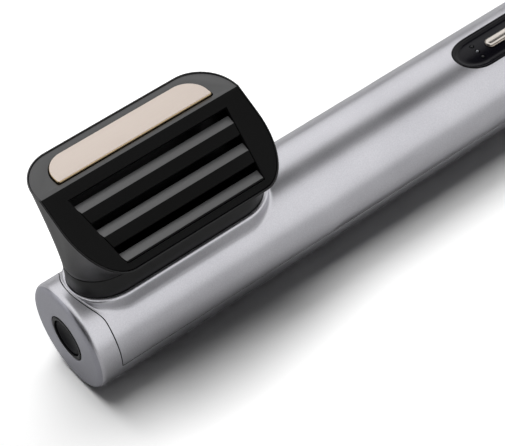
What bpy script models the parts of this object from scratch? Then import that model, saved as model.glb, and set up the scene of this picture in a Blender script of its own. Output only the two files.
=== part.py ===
"""Hot air brush: a barrel with a fan and heater, and a plug-in head with louvres and a heated plate.

The barrel lies along +X from its nose, and the head stands up along +Z.
All lengths are in metres and all angles in radians.
"""
import math

import bmesh
import bpy
from mathutils import Matrix, Vector

# Barrel
BARREL_RADIUS = 0.020
BARREL_WALL = 0.002
BARREL_LENGTH = 0.290
REAR_LENGTH = 0.0310
INLET_START = BARREL_LENGTH - REAR_LENGTH
PANEL_SETBACK = 0.1185
PANEL_START = BARREL_LENGTH - PANEL_SETBACK
NOSE_WALL = 0.0024
NOSE_EDGE = 0.0026
CLEAR = 0.0003
RUNNING_CLEAR = 0.0003
OVERRUN = 0.002

# Head collar, which stands in the barrel's top
COLLAR_START = 0.0059
COLLAR_HALF_LENGTH = 0.0383
HEAD_X = COLLAR_START + COLLAR_HALF_LENGTH
COLLAR_REAR = HEAD_X + COLLAR_HALF_LENGTH
COLLAR_HALF_WIDTH = 0.0124
COLLAR_END = 0.0142
COLLAR_WALL = 0.0018
COLLAR_SINK = 0.0045
COLLAR_BOTTOM = BARREL_RADIUS - COLLAR_SINK
COLLAR_RISE = 0.0081
COLLAR_TOP = BARREL_RADIUS + COLLAR_RISE
BOSS_RISE = 0.0004
BOSS_TOP = BARREL_RADIUS + BOSS_RISE
BOSS_BORDER = 0.0017
BOSS_EDGE = 0.0002
BOSS_FOOT = 0.0018
BOSS_FOOT_SHARE = 0.6
LEDGE_RISE = 0.0034
LEDGE_TOP = COLLAR_BOTTOM + LEDGE_RISE
LEDGE_THICK = 0.0014
LEDGE_WIDTH = 0.0018
SEAL_THICK = 0.0005

# Parting of the two shells
SEAM_MARGIN = 0.0011
SEAM_ARC_TIP = COLLAR_START - SEAM_MARGIN
SEAM_ARC_DEPTH = 0.0042
SEAM_X = SEAM_ARC_TIP + SEAM_ARC_DEPTH
SEAM_ARC_RADIUS = 0.0213
SEAM_DROP = 0.0033
SEAM_GAP = 0.00025

# Head shell
NECK_Z = COLLAR_TOP + CLEAR
SPIGOT_BOTTOM = LEDGE_TOP + SEAL_THICK + 2 * CLEAR
SPIGOT_WALL = 0.0015
HEAD_WALL = 0.0016
NECK_FLOOR = 0.0014
RIM_PROUD = 0.0004
RIM_DRAW = 0.0123
RIM_STRAIGHT = COLLAR_HALF_LENGTH - RIM_DRAW
RIM_CORNER = 0.0135
RIM_FRONT_MID = 0.0035
RIM_FRONT_CORNER = 0.0210
RIM_REAR_MID = 0.0084
RIM_REAR_CORNER = 0.0161
NECK_SIDE_MID = 0.0006
FLARE_POWER = 1.35

# Roof of the head: a front slope and a rear slope that meet in a ridge
RIDGE_Y = 0.0064
HEAD_HEIGHT = 0.0292
RIDGE_Z = COLLAR_TOP + HEAD_HEIGHT
FRONT_SLOPE = math.radians(28.0)
REAR_SLOPE = math.radians(2.4)
FACE_THICK = 0.0022

# Grille opening and louvre blades, measured down the front slope from the ridge
GRILLE_TOP = 0.0042
GRILLE_TOP_REACH = 0.0055
GRILLE_HALF_TOP = RIM_STRAIGHT + GRILLE_TOP_REACH
GRILLE_BOTTOM_REACH = 0.0014
GRILLE_HALF_BOTTOM = RIM_STRAIGHT + GRILLE_BOTTOM_REACH
LOUVRE_COUNT = 3
SLOT_WIDTH = 0.0027
RAMP_WIDTH = 0.0032
LAND_WIDTH = 0.0044
LAST_LAND = 0.0006
RAMP_DEPTH = 0.0018
BLADE_THICK = 0.0013

# Heated plate, measured down the rear slope from the ridge
PLATE_START = 0.0023
PLATE_END = 0.0139
PLATE_REACH = 0.0046
PLATE_HALF = RIM_STRAIGHT + PLATE_REACH
PLATE_CORNER_X = 0.0080
PLATE_CORNER_Y = 0.0086
PLATE_PROUD = 0.0007
PLATE_THICK = 0.0024
PLATE_EDGE = 0.0004
HEATER_THICK = 0.0012
CARRIER_START = 0.0032
CARRIER_END = 0.0112
CARRIER_REACH = 0.0010
CARRIER_HALF = RIM_STRAIGHT + CARRIER_REACH
CARRIER_DEPTH = 0.0030
CARRIER_WALL = 0.0012
CARRIER_SCREW_RADIUS = 0.0009
CARRIER_SCREW_HEAD = 0.0016
CARRIER_SCREW_MARGIN = 0.0030
CARRIER_SCREW_X = CARRIER_HALF - CARRIER_SCREW_MARGIN

# Nose button, its ring, guide, spring and latch
BEZEL_RADIUS = 0.0083
BEZEL_BAND = 0.0014
BEZEL_FLANGE = 0.0012
BEZEL_FLANGE_DEPTH = 0.0008
BUTTON_RECESS = 0.0004
BUTTON_DISH = 0.0004
BUTTON_THICK = 0.0020
BUTTON_TRAVEL = 0.0015
STEM_RADIUS = 0.0030
GUIDE_X = 0.0074
GUIDE_THICK = 0.0016
GUIDE_DROP = 0.0010
GUIDE_TOP = COLLAR_BOTTOM - GUIDE_DROP
SPRING_WIRE = 0.0003
SPRING_RADIUS = 0.0042
SPRING_TURNS = 2
CATCH_SETBACK = 0.0058
CATCH_X = COLLAR_START + CATCH_SETBACK
CATCH_THICK = 0.0012
CATCH_HALF = 0.0048
CATCH_DROP = 0.0065
CATCH_BOTTOM = COLLAR_BOTTOM - CATCH_DROP
CATCH_HEIGHT = 0.0172
CATCH_TOP = CATCH_BOTTOM + CATCH_HEIGHT
CATCH_MARGIN = 0.0018
CATCH_WINDOW_LOW = CATCH_BOTTOM + CATCH_MARGIN
CATCH_WINDOW_HEIGHT = 0.0034
CATCH_WINDOW_HIGH = CATCH_WINDOW_LOW + CATCH_WINDOW_HEIGHT
LATCH_TIP_HEIGHT = 0.0024
LATCH_HALF = 0.0024
LATCH_THICK = 0.0020
LATCH_ROD_Z = 0.0010
LATCH_BITE_GAP = 0.0004

# Contacts that feed the heated plate
CONTACT_SETBACK = 0.0081
CONTACT_X = COLLAR_REAR - CONTACT_SETBACK
CONTACT_LENGTH = 0.0044
CONTACT_HALF = 0.0040
CONTACT_DROP = 0.0015
CONTACT_LOW = COLLAR_BOTTOM - CONTACT_DROP
CONTACT_HEIGHT = 0.0050
CONTACT_HIGH = CONTACT_LOW + CONTACT_HEIGHT
PIN_RADIUS = 0.0006
PIN_LENGTH = 0.0018
PIN_PITCH = 0.0025
PIN_COUNT = 3
HEAD_CONTACT_LOW = CONTACT_HIGH + PIN_LENGTH + 2 * CLEAR
HEAD_CONTACT_HEIGHT = 0.0036
HEAD_CONTACT_HIGH = HEAD_CONTACT_LOW + HEAD_CONTACT_HEIGHT

# Air scoop under the collar
SCOOP_SETBACK = 0.0131
SCOOP_START = COLLAR_START + SCOOP_SETBACK
SCOOP_OVERHANG = 0.0075
SCOOP_END = COLLAR_REAR + SCOOP_OVERHANG
SCOOP_RISE = 0.0050
SCOOP_LOW = BARREL_RADIUS - SCOOP_RISE
SCOOP_DROP = 0.0055
SCOOP_HIGH = COLLAR_BOTTOM - SCOOP_DROP
SCOOP_THICK = 0.0016

# Air heater, between the scoop and the control panel
HEATER_SETBACK = 0.0040
HEATER_START = SCOOP_END + HEATER_SETBACK
HEATER_SHARE = 0.707
HEATER_LENGTH = (PANEL_START - HEATER_START) * HEATER_SHARE
HEATER_ROOM = 0.0018
HEATER_RADIUS = BARREL_RADIUS - BARREL_WALL - HEATER_ROOM
HEATER_WALL = 0.0006
COIL_WIRE = 0.0005
COIL_ROOM = 0.0008
COIL_TURNS = 8
CROSS_RADIUS = HEATER_RADIUS - HEATER_WALL - 2 * COIL_WIRE - COIL_ROOM
CROSS_THICK = 0.0008
CROSS_INSET = 0.0030
RING_WIDTH = 0.0040
RING_INSET = 0.0050
RING_GROOVE = 0.0003
FUSE_RADIUS = 0.0012
FUSE_SHARE = 0.18
FUSE_LENGTH = HEATER_LENGTH * FUSE_SHARE
FUSE_PLACE_SHARE = 0.464
FUSE_X = HEATER_START + HEATER_LENGTH * FUSE_PLACE_SHARE
THERMOSTAT_RADIUS = 0.0038
THERMOSTAT_THICK = 0.0030
THERMOSTAT_PLACE_SHARE = 0.25
THERMOSTAT_X = HEATER_START + HEATER_LENGTH * THERMOSTAT_PLACE_SHARE

# Control panel, which sits turned a little round the barrel
PANEL_TURN = math.radians(8.0)
PANEL_LENGTH = 0.0635
PANEL_HALF = 0.0075
PANEL_END = 0.0110
PANEL_RIM = 0.0012
PANEL_PROUD = 0.0002
PANEL_RECESS = 0.0014
PANEL_FLOOR = 0.0014
SLIDER_SETBACK = 0.0147
SLIDER_START = PANEL_START + SLIDER_SETBACK
SLIDER_LENGTH = 0.0220
SLIDER_HALF = 0.0017
SLIDER_TRAVEL = 0.0080
SLIDER_THICK = 0.0010
SLIDER_STEM_LENGTH = 0.0060
SLIDER_STEM_HALF = 0.0009
KEY_RADIUS = 0.0026
KEY_SETBACK = 0.0495
KEY_FIRST_X = PANEL_START + KEY_SETBACK
KEY_PITCH = 0.0075
KEY_TRAVEL = 0.0006
KEY_HEIGHT = 0.0012
KEY_EDGE = 0.0003
LENS_RADIUS = 0.0005
LENS_SETBACK = 0.0104
LENS_X = PANEL_START + LENS_SETBACK
LENS_PITCH = 0.0030
LENS_COUNT = 3
LENS_PROUD = 0.0001

# Circuit board and what stands on it
BOARD_SETBACK = 0.0045
BOARD_START = PANEL_START + BOARD_SETBACK
BOARD_LENGTH = 0.0580
BOARD_HALF = 0.0078
BOARD_DROP = 0.0062
BOARD_TOP = BARREL_RADIUS - BOARD_DROP
BOARD_THICK = 0.0012
POST_RADIUS = 0.0013
POST_INSET = 0.0030
POST_SIDE = 0.0042
SWITCH_LENGTH = 0.0180
SWITCH_HALF = 0.0028
SWITCH_HEIGHT = 0.0014
TACT_HALF = 0.0022
TACT_HEIGHT = 0.0010

# Fan
HOUSING_OVERHANG = 0.0010
HOUSING_END = INLET_START + HOUSING_OVERHANG
HOUSING_LENGTH = 0.0360
HOUSING_START = HOUSING_END - HOUSING_LENGTH
HOUSING_ROOM = 0.0004
HOUSING_RADIUS = BOARD_TOP - BOARD_THICK - HOUSING_ROOM
HOUSING_WALL = 0.0008
MOUNT_WIDTH = 0.0030
MOUNT_GAP = 0.0030
MOUNT_FRONT_X = BOARD_START + BOARD_LENGTH + MOUNT_GAP
INLET_TENON = 0.0030
MOUNT_REAR_GAP = 0.0025
MOUNT_REAR_X = INLET_START - INLET_TENON - MOUNT_REAR_GAP - MOUNT_WIDTH
MOTOR_SETBACK = 0.0015
MOTOR_START = HOUSING_START + MOTOR_SETBACK
MOTOR_LENGTH = 0.0190
MOTOR_ROOM = 0.0008
MOTOR_RADIUS = HOUSING_RADIUS - HOUSING_WALL - MOTOR_ROOM
MOTOR_FIN_THICK = 0.0010
MOTOR_FIN_COUNT = 4
SHAFT_RADIUS = 0.0010
SHAFT_DEPTH = 0.0060
FAN_SETBACK = 0.0250
FAN_START = HOUSING_START + FAN_SETBACK
FAN_LENGTH = 0.0070
FAN_ROOM = 0.0007
FAN_RADIUS = HOUSING_RADIUS - HOUSING_WALL - FAN_ROOM
FAN_HUB = 0.0040
FAN_BLADES = 7
FAN_BLADE_THICK = 0.0007
FAN_BLADE_PITCH = math.radians(35.0)

# Rear inlet, end cap and cord gland
INLET_LENGTH = 0.0180
INLET_WALL = 0.0020
INLET_SLOTS = 20
INLET_SLOT_WIDTH = 0.0016
INLET_SLOT_LENGTH = 0.0120
FILTER_WALL = 0.0006
CAP_EDGE = 0.0030
CAP_WALL = 0.0022
CAP_TENON = 0.0028
GLAND_BORE = 0.0037
GLAND_RADIUS = 0.0062
GLAND_FLANGE = 0.0084
GLAND_FLANGE_THICK = 0.0014
GLAND_PROUD = 0.0060
GLAND_TAPER = 0.0010
CAP_SCREW_RADIUS = 0.0012
CAP_SCREW_HEAD = 0.0023
CAP_SCREW_OFFSET = (GLAND_FLANGE + BARREL_RADIUS - INLET_WALL - CAP_WALL) / 2
CAP_SCREW_LENGTH = 0.0060
CAP_SCREW_HEAD_DEPTH = 0.0012

# Facets
ROUND_STEPS = 48
INNER_STEPS = 24
NOSE_STEPS = 36
SMALL_STEPS = 12
TINY_STEPS = 8
CORNER_STEPS = 6
EDGE_STEPS = 3
FLARE_STEPS = 5
DISH_SHARES = (1.0, 0.8, 0.5, 0.0)
MERGE = 0.00001

PART_NAME = "hot_air_brush"


def clear_scene():
    """Remove everything that the scene holds."""
    for obj in list(bpy.data.objects):
        bpy.data.objects.remove(obj, do_unlink=True)


def make_collection(name):
    """Make a collection in the scene."""
    collection = bpy.data.collections.new(name)
    bpy.context.scene.collection.children.link(collection)
    return collection


clear_scene()
PART = make_collection(PART_NAME)
CUTTERS = make_collection(PART_NAME + "_cutters")
GUIDES = make_collection(PART_NAME + "_guides")


def make_material(name, colour, roughness, metallic=0.0):
    """A Principled material of one colour."""
    material = bpy.data.materials.new(name)
    material.use_nodes = True
    shader = material.node_tree.nodes["Principled BSDF"]
    shader.inputs["Base Color"].default_value = (*colour, 1.0)
    shader.inputs["Roughness"].default_value = roughness
    shader.inputs["Metallic"].default_value = metallic
    material.diffuse_color = (*colour, 1.0)
    return material


SILVER = make_material("satin_silver", (0.52, 0.51, 0.55), 0.34, 0.7)
BLACK = make_material("satin_black", (0.025, 0.025, 0.027), 0.42)
GLOSS_BLACK = make_material("gloss_black", (0.02, 0.02, 0.022), 0.15)
BLADE_GREY = make_material("blade_grey", (0.06, 0.06, 0.062), 0.45)
CHAMPAGNE = make_material("champagne_plate", (0.78, 0.66, 0.58), 0.3, 0.5)
STEEL = make_material("steel", (0.6, 0.6, 0.6), 0.3, 1.0)
BRASS = make_material("brass", (0.7, 0.55, 0.25), 0.3, 1.0)
RUBBER = make_material("rubber", (0.05, 0.05, 0.05), 0.8)
MICA = make_material("mica_board", (0.62, 0.56, 0.45), 0.7)
BOARD_GREEN = make_material("board_green", (0.04, 0.22, 0.12), 0.5)
CERAMIC = make_material("ceramic", (0.85, 0.84, 0.80), 0.6)
LENS = make_material("lens", (0.8, 0.82, 0.85), 0.3)


def make_empty(name, location, rotation=(0.0, 0.0, 0.0), parent=None):
    """An empty that carries a sub-assembly's own axes."""
    empty = bpy.data.objects.new(name, None)
    GUIDES.objects.link(empty)
    empty.location = location
    empty.rotation_euler = rotation
    empty.parent = parent
    return empty


BARREL_AXIS = make_empty("barrel_axis", (-BARREL_LENGTH / 2, 0.0, BARREL_RADIUS))
PANEL_AXIS = make_empty("panel_axis", (0.0, 0.0, 0.0), (PANEL_TURN, 0.0, 0.0), BARREL_AXIS)
HEAD_AXIS = make_empty("head_axis", (HEAD_X, 0.0, 0.0), parent=BARREL_AXIS)
GRILLE_PLANE = make_empty("grille_plane", (0.0, RIDGE_Y, RIDGE_Z), (FRONT_SLOPE, 0.0, 0.0), HEAD_AXIS)
PLATE_PLANE = make_empty("plate_plane", (0.0, RIDGE_Y, RIDGE_Z), (-REAR_SLOPE, 0.0, 0.0), HEAD_AXIS)


def add_object(name, mesh, material=None, parent=BARREL_AXIS, location=(0.0, 0.0, 0.0),
               rotation=(0.0, 0.0, 0.0)):
    """Put a mesh in the part, or in the cutters where it has no material."""
    obj = bpy.data.objects.new(name, mesh)
    if material is None:
        CUTTERS.objects.link(obj)
        obj.hide_render = True
        obj.display_type = "WIRE"
    else:
        PART.objects.link(obj)
        mesh.materials.append(material)
    obj.parent = parent
    obj.location = location
    obj.rotation_euler = rotation
    return obj


def mesh_from_bmesh(name, bm):
    """Turn a bmesh into a mesh with its faces pointing out."""
    bmesh.ops.recalc_face_normals(bm, faces=bm.faces)
    mesh = bpy.data.meshes.new(name)
    bm.to_mesh(mesh)
    bm.free()
    return mesh


def smooth(obj, angle=math.radians(35.0)):
    """Shade a round piece smooth, and keep its sharp edges."""
    obj.data.shade_smooth()
    obj.data.set_sharp_from_angle(angle=angle)
    return obj


def boolean(obj, cutter, operation="DIFFERENCE"):
    """Cut, join or intersect an object with another."""
    modifier = obj.modifiers.new(operation.lower() + "_" + cutter.name, "BOOLEAN")
    modifier.operation = operation
    modifier.object = cutter
    modifier.solver = "EXACT"
    return obj


def turned(name, profile, material=None, steps=ROUND_STEPS, parent=BARREL_AXIS):
    """Turn a closed profile of (radius, place along the barrel) points round the barrel's axis."""
    bm = bmesh.new()
    verts = [bm.verts.new((radius, 0.0, along)) for radius, along in profile]
    for first, second in zip(verts, verts[1:] + verts[:1]):
        if first.co.x > 0.0 or second.co.x > 0.0:
            bm.edges.new((first, second))
    mesh = bpy.data.meshes.new(name)
    bm.to_mesh(mesh)
    bm.free()
    obj = add_object(name, mesh, material, parent, rotation=(0.0, math.pi / 2, 0.0))
    screw = obj.modifiers.new("turn", "SCREW")
    screw.axis = "Z"
    screw.steps = steps
    screw.render_steps = steps
    screw.use_merge_vertices = True
    screw.merge_threshold = MERGE
    screw.use_smooth_shade = True
    return obj


def ring_profile(outer, inner, start, end):
    """Closed profile of a plain ring, its outer side first, from the far end to the near one."""
    return [(outer, end), (outer, start), (inner, start), (inner, end)]


def disc_profile(radius, start, end):
    """Closed profile of a plain solid cylinder."""
    return [(0.0, end), (radius, end), (radius, start), (0.0, start)]


def arc(centre, radius_a, radius_b, start, end, steps):
    """Points along an ellipse's arc, both ends among them."""
    points = []
    for index in range(steps + 1):
        angle = start + (end - start) * index / steps
        points.append((centre[0] + radius_a * math.cos(angle), centre[1] + radius_b * math.sin(angle)))
    return points


def prism(name, outline, low, high, material=None, parent=BARREL_AXIS, location=(0.0, 0.0, 0.0),
          rotation=(0.0, 0.0, 0.0)):
    """Extrude a flat outline of (x, y) points from one height to another."""
    curve = bpy.data.curves.new(name + "_outline", "CURVE")
    curve.dimensions = "2D"
    curve.fill_mode = "BOTH"
    curve.extrude = (high - low) / 2
    spline = curve.splines.new("POLY")
    spline.points.add(len(outline) - 1)
    for point, (x, y) in zip(spline.points, outline):
        point.co = (x, y, 0.0, 1.0)
    spline.use_cyclic_u = True
    guide = bpy.data.objects.new(name + "_outline", curve)
    GUIDES.objects.link(guide)
    evaluated = guide.evaluated_get(bpy.context.evaluated_depsgraph_get())
    mesh = bpy.data.meshes.new_from_object(evaluated)
    bpy.data.objects.remove(guide)
    bm = bmesh.new()
    bm.from_mesh(mesh)
    bpy.data.meshes.remove(mesh)
    bmesh.ops.remove_doubles(bm, verts=bm.verts, dist=MERGE)
    bmesh.ops.translate(bm, verts=bm.verts, vec=(0.0, 0.0, (high + low) / 2))
    return add_object(name, mesh_from_bmesh(name, bm), material, parent, location, rotation)


def bar(name, section, start, end, material=None, parent=BARREL_AXIS, location=(0.0, 0.0, 0.0)):
    """Extrude a section of (y, z) points along X."""
    obj = prism(name, section, start, end, material, parent)
    turn = Matrix(((0, 0, 1, 0), (1, 0, 0, 0), (0, 1, 0, 0), (0, 0, 0, 1)))
    obj.data.transform(turn)
    obj.location = location
    return obj


def box(name, low, high, material=None, parent=BARREL_AXIS):
    """A box between two corners."""
    bm = bmesh.new()
    bmesh.ops.create_cube(bm, size=1.0)
    size = Vector(high) - Vector(low)
    bmesh.ops.scale(bm, verts=bm.verts, vec=size)
    bmesh.ops.translate(bm, verts=bm.verts, vec=(Vector(high) + Vector(low)) / 2)
    return add_object(name, mesh_from_bmesh(name, bm), material, parent)


def cylinder(name, radius, low, high, centre, material=None, steps=SMALL_STEPS, parent=BARREL_AXIS,
             top_radius=None):
    """An upright cylinder or cone between two heights."""
    bm = bmesh.new()
    bmesh.ops.create_cone(bm, cap_ends=True, segments=steps, radius1=radius,
                          radius2=radius if top_radius is None else top_radius, depth=high - low)
    bmesh.ops.translate(bm, verts=bm.verts, vec=(centre[0], centre[1], (high + low) / 2))
    return smooth(add_object(name, mesh_from_bmesh(name, bm), material, parent))


def loft(name, rings, material=None, parent=BARREL_AXIS, closed=False):
    """Join rings of points in turn; a closed loft runs from the last ring back to the first."""
    bm = bmesh.new()
    rows = [[bm.verts.new(point) for point in ring] for ring in rings]
    pairs = list(zip(rows, rows[1:]))
    if closed:
        pairs.append((rows[-1], rows[0]))
    for low, high in pairs:
        for index in range(len(low)):
            after = (index + 1) % len(low)
            bm.faces.new((low[index], low[after], high[after], high[index]))
    if not closed:
        bm.faces.new(rows[0])
        bm.faces.new(rows[-1])
    return smooth(add_object(name, mesh_from_bmesh(name, bm), material, parent))


def capsule(centre_x, half_length, half_width, end_axis, steps=CORNER_STEPS):
    """Flat outline of a bar with half-ellipse ends, centred on the X axis."""
    straight = half_length - end_axis
    right = arc((centre_x + straight, 0.0), end_axis, half_width, -math.pi / 2, math.pi / 2, 2 * steps)
    left = arc((centre_x - straight, 0.0), end_axis, half_width, math.pi / 2, 3 * math.pi / 2, 2 * steps)
    return right + left


def collar_outline(offset):
    """The collar's outline, grown by an offset, about the head's own axis."""
    return capsule(0.0, COLLAR_HALF_LENGTH + offset, COLLAR_HALF_WIDTH + offset, COLLAR_END + offset)


def roof_height(y):
    """Height of the head's roof at a place across it."""
    if y < RIDGE_Y:
        return RIDGE_Z - (RIDGE_Y - y) * math.tan(FRONT_SLOPE)
    return RIDGE_Z - (y - RIDGE_Y) * math.tan(REAR_SLOPE)


def head_outline(share, inset):
    """The head's outline at a share of its flare: 0 is the neck's oval and 1 the rim.

    Each corner is a quarter ellipse, and each end has one more point where the ridge meets it.
    """
    def between(neck, rim):
        return neck + (rim - neck) * share

    straight = between(COLLAR_HALF_LENGTH - COLLAR_END, RIM_STRAIGHT)
    end_axis = between(COLLAR_END, RIM_CORNER) - inset
    front_mid = between(NECK_SIDE_MID, RIM_FRONT_MID)
    rear_mid = between(NECK_SIDE_MID, RIM_REAR_MID)
    front_axis = between(COLLAR_HALF_WIDTH - NECK_SIDE_MID, RIM_FRONT_CORNER) - inset
    rear_axis = between(COLLAR_HALF_WIDTH - NECK_SIDE_MID, RIM_REAR_CORNER) - inset
    ridge = between(0.0, RIDGE_Y)
    quarter = math.pi / 2
    points = arc((straight, -front_mid), end_axis, front_axis, -quarter, 0.0, CORNER_STEPS)
    points.append((straight + end_axis, ridge))
    points += arc((straight, rear_mid), end_axis, rear_axis, 0.0, quarter, CORNER_STEPS)
    points += arc((-straight, rear_mid), end_axis, rear_axis, quarter, 2 * quarter, CORNER_STEPS)
    points.append((-straight - end_axis, ridge))
    points += arc((-straight, -front_mid), end_axis, front_axis, 2 * quarter, 3 * quarter, CORNER_STEPS)
    return points


def head_ring(rise, inset, extra=0.0):
    """A ring of the head's flare at a share of its height, the neck at 0 and the rim at 1."""
    flat = head_outline(rise ** FLARE_POWER, inset)
    rim = head_outline(1.0, inset)
    ring = []
    for (x, y), (_, rim_y) in zip(flat, rim):
        top = roof_height(rim_y) + RIM_PROUD
        ring.append((x, y, NECK_Z + (top - NECK_Z) * rise + extra))
    return ring


def level_ring(height, inset):
    """A ring of the neck's oval at one height."""
    return [(x, y, height) for x, y in head_outline(0.0, inset)]


def seam_cutter(name, grow):
    """The space of the upper shell: all above the seam, with a round tongue ahead of the collar."""
    reach = math.sqrt(SEAM_ARC_RADIUS ** 2 - (SEAM_ARC_RADIUS - (SEAM_X - SEAM_ARC_TIP)) ** 2)
    spread = math.asin(reach / SEAM_ARC_RADIUS)
    centre = (SEAM_ARC_TIP + SEAM_ARC_RADIUS, 0.0)
    tongue = arc(centre, SEAM_ARC_RADIUS + grow, SEAM_ARC_RADIUS + grow, math.pi - spread, math.pi + spread,
                 2 * CORNER_STEPS)
    side = BARREL_RADIUS + OVERRUN
    front = SEAM_X - grow
    rear = INLET_START + OVERRUN
    outline = [(rear, -side), (rear, side), (front, side)] + tongue + [(front, -side)]
    return prism(name, outline, -SEAM_DROP - grow, COLLAR_TOP)


def barrel_solid(name, material):
    """The whole barrel with its rounded nose, before it is hollowed and parted."""
    end = INLET_START - CLEAR
    profile = [(0.0, end), (BARREL_RADIUS, end)]
    for x, radius in arc((NOSE_EDGE, BARREL_RADIUS - NOSE_EDGE), NOSE_EDGE, NOSE_EDGE, math.pi / 2,
                         math.pi, EDGE_STEPS + 1):
        profile.append((radius, x))
    profile.append((0.0, 0.0))
    return turned(name, profile, material)


def make_boss():
    """The flat-topped boss round the collar, with a soft foot that runs out into the barrel."""
    rings = [[(x, y, 0.0) for x, y in collar_outline(BOSS_BORDER + BOSS_FOOT)]]
    for index in range(EDGE_STEPS + 1):
        share = index / EDGE_STEPS
        ring = []
        for x, y in collar_outline(BOSS_BORDER + BOSS_FOOT * (1 - share)):
            skin = math.sqrt(BARREL_RADIUS ** 2 - y ** 2)
            foot = min(BOSS_FOOT, (BOSS_TOP - BOSS_EDGE - skin) * BOSS_FOOT_SHARE)
            ring.append((x, y, skin - CLEAR + (foot + CLEAR) * share ** 2))
        rings.append(ring)
    rings.append([(x, y, BOSS_TOP - BOSS_EDGE) for x, y in collar_outline(BOSS_BORDER)])
    rings.append([(x, y, BOSS_TOP) for x, y in collar_outline(BOSS_BORDER - BOSS_EDGE)])
    return loft("boss_form", rings, parent=HEAD_AXIS)


def panel_outline(inset):
    """The control panel's outline, drawn in from its rim."""
    centre = PANEL_START + PANEL_LENGTH / 2
    return capsule(centre, PANEL_LENGTH / 2 - inset, PANEL_HALF - inset, PANEL_END - inset)


def make_shells():
    """The two barrel shells."""
    bore = BARREL_RADIUS - BARREL_WALL
    hole = BEZEL_RADIUS + CLEAR
    inside = turned("barrel_inside", [(0.0, INLET_START), (bore, INLET_START), (bore, 2 * NOSE_WALL),
                                      (bore - NOSE_WALL, NOSE_WALL), (hole, NOSE_WALL),
                                      (hole, -OVERRUN), (0.0, -OVERRUN)])
    collar_hole = prism("collar_hole", collar_outline(CLEAR), 0.0, BARREL_RADIUS + COLLAR_TOP,
                        parent=HEAD_AXIS)
    panel_hole = prism("panel_hole", panel_outline(-CLEAR), 0.0, BARREL_RADIUS + OVERRUN,
                       parent=PANEL_AXIS)
    upper = barrel_solid("upper_shell", SILVER)
    boolean(upper, make_boss(), "UNION")
    boolean(upper, inside)
    boolean(upper, seam_cutter("upper_space", 0.0), "INTERSECT")
    boolean(upper, collar_hole)
    boolean(upper, panel_hole)
    lower = barrel_solid("lower_shell", SILVER)
    boolean(lower, inside)
    boolean(lower, seam_cutter("lower_cut", SEAM_GAP))


def make_nose():
    """The black ring, the release button with its stem, the guide, the spring and the latch."""
    inner = BEZEL_RADIUS - BEZEL_BAND
    flange = BEZEL_RADIUS + BEZEL_FLANGE
    step = NOSE_WALL + CLEAR
    turned("nose_bezel", [(flange, step + BEZEL_FLANGE_DEPTH), (flange, step), (BEZEL_RADIUS, step),
                          (BEZEL_RADIUS, 0.0), (inner, 0.0), (inner, step + BEZEL_FLANGE_DEPTH)],
           GLOSS_BLACK, NOSE_STEPS)
    radius = inner - RUNNING_CLEAR
    back = BUTTON_RECESS + BUTTON_THICK
    stem_end = GUIDE_X + GUIDE_THICK - BUTTON_TRAVEL
    dish = [(radius * share, BUTTON_RECESS + BUTTON_DISH * (1 - share ** 2))
            for share in DISH_SHARES]
    turned("nose_button", [(0.0, stem_end), (STEM_RADIUS, stem_end), (STEM_RADIUS, back), (radius, back)]
           + dish, GLOSS_BLACK, NOSE_STEPS)
    bore = BARREL_RADIUS - BARREL_WALL - CLEAR
    guide = turned("button_guide", ring_profile(bore, STEM_RADIUS + RUNNING_CLEAR, GUIDE_X,
                                                GUIDE_X + GUIDE_THICK), BLACK, INNER_STEPS)
    boolean(guide, box("guide_trim", (0.0, -BARREL_RADIUS, GUIDE_TOP),
                       (SEAM_X + OVERRUN, BARREL_RADIUS, COLLAR_TOP)))
    make_spring()
    make_latch(stem_end)


def make_spring():
    """The button's coil spring, drawn at its pressed length on the guide."""
    start = BUTTON_RECESS + BUTTON_THICK + BUTTON_TRAVEL + CLEAR + SPRING_WIRE
    end = GUIDE_X - CLEAR - SPRING_WIRE
    count = SPRING_TURNS * TINY_STEPS
    points = []
    for index in range(count + 1):
        angle = math.tau * SPRING_TURNS * index / count
        points.append((start + (end - start) * index / count, SPRING_RADIUS * math.cos(angle),
                       SPRING_RADIUS * math.sin(angle)))
    wire("button_spring", points, SPRING_WIRE, STEEL)


def wire(name, points, radius, material):
    """A round wire along points, with its ends closed."""
    curve = bpy.data.curves.new(name, "CURVE")
    curve.dimensions = "3D"
    curve.bevel_depth = radius
    curve.bevel_resolution = 1
    curve.use_fill_caps = True
    spline = curve.splines.new("POLY")
    spline.points.add(len(points) - 1)
    for point, place in zip(spline.points, points):
        point.co = (*place, 1.0)
    obj = bpy.data.objects.new(name, curve)
    PART.objects.link(obj)
    curve.materials.append(material)
    obj.parent = BARREL_AXIS
    return obj


def make_latch(stem_end):
    """The latch behind the head's catch, worked by the button's stem."""
    rod_start = stem_end + CLEAR
    rear = CATCH_X + CATCH_THICK + LATCH_BITE_GAP
    arm_start = rear + LATCH_THICK / 2
    window = (CATCH_WINDOW_LOW + CATCH_WINDOW_HIGH) / 2
    low = LATCH_ROD_Z - LATCH_THICK
    outline = [(rod_start, low), (arm_start + LATCH_THICK, low),
               (arm_start + LATCH_THICK, window + LATCH_TIP_HEIGHT / 2),
               (rear, window - LATCH_TIP_HEIGHT / 2 + CLEAR), (rear, window - LATCH_TIP_HEIGHT / 2),
               (arm_start, window - LATCH_TIP_HEIGHT), (arm_start, LATCH_ROD_Z),
               (rod_start, LATCH_ROD_Z)]
    latch = prism("latch_rod", outline, -LATCH_HALF, LATCH_HALF, BLACK)
    latch.data.transform(Matrix.Rotation(math.pi / 2, 4, "X"))


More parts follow.
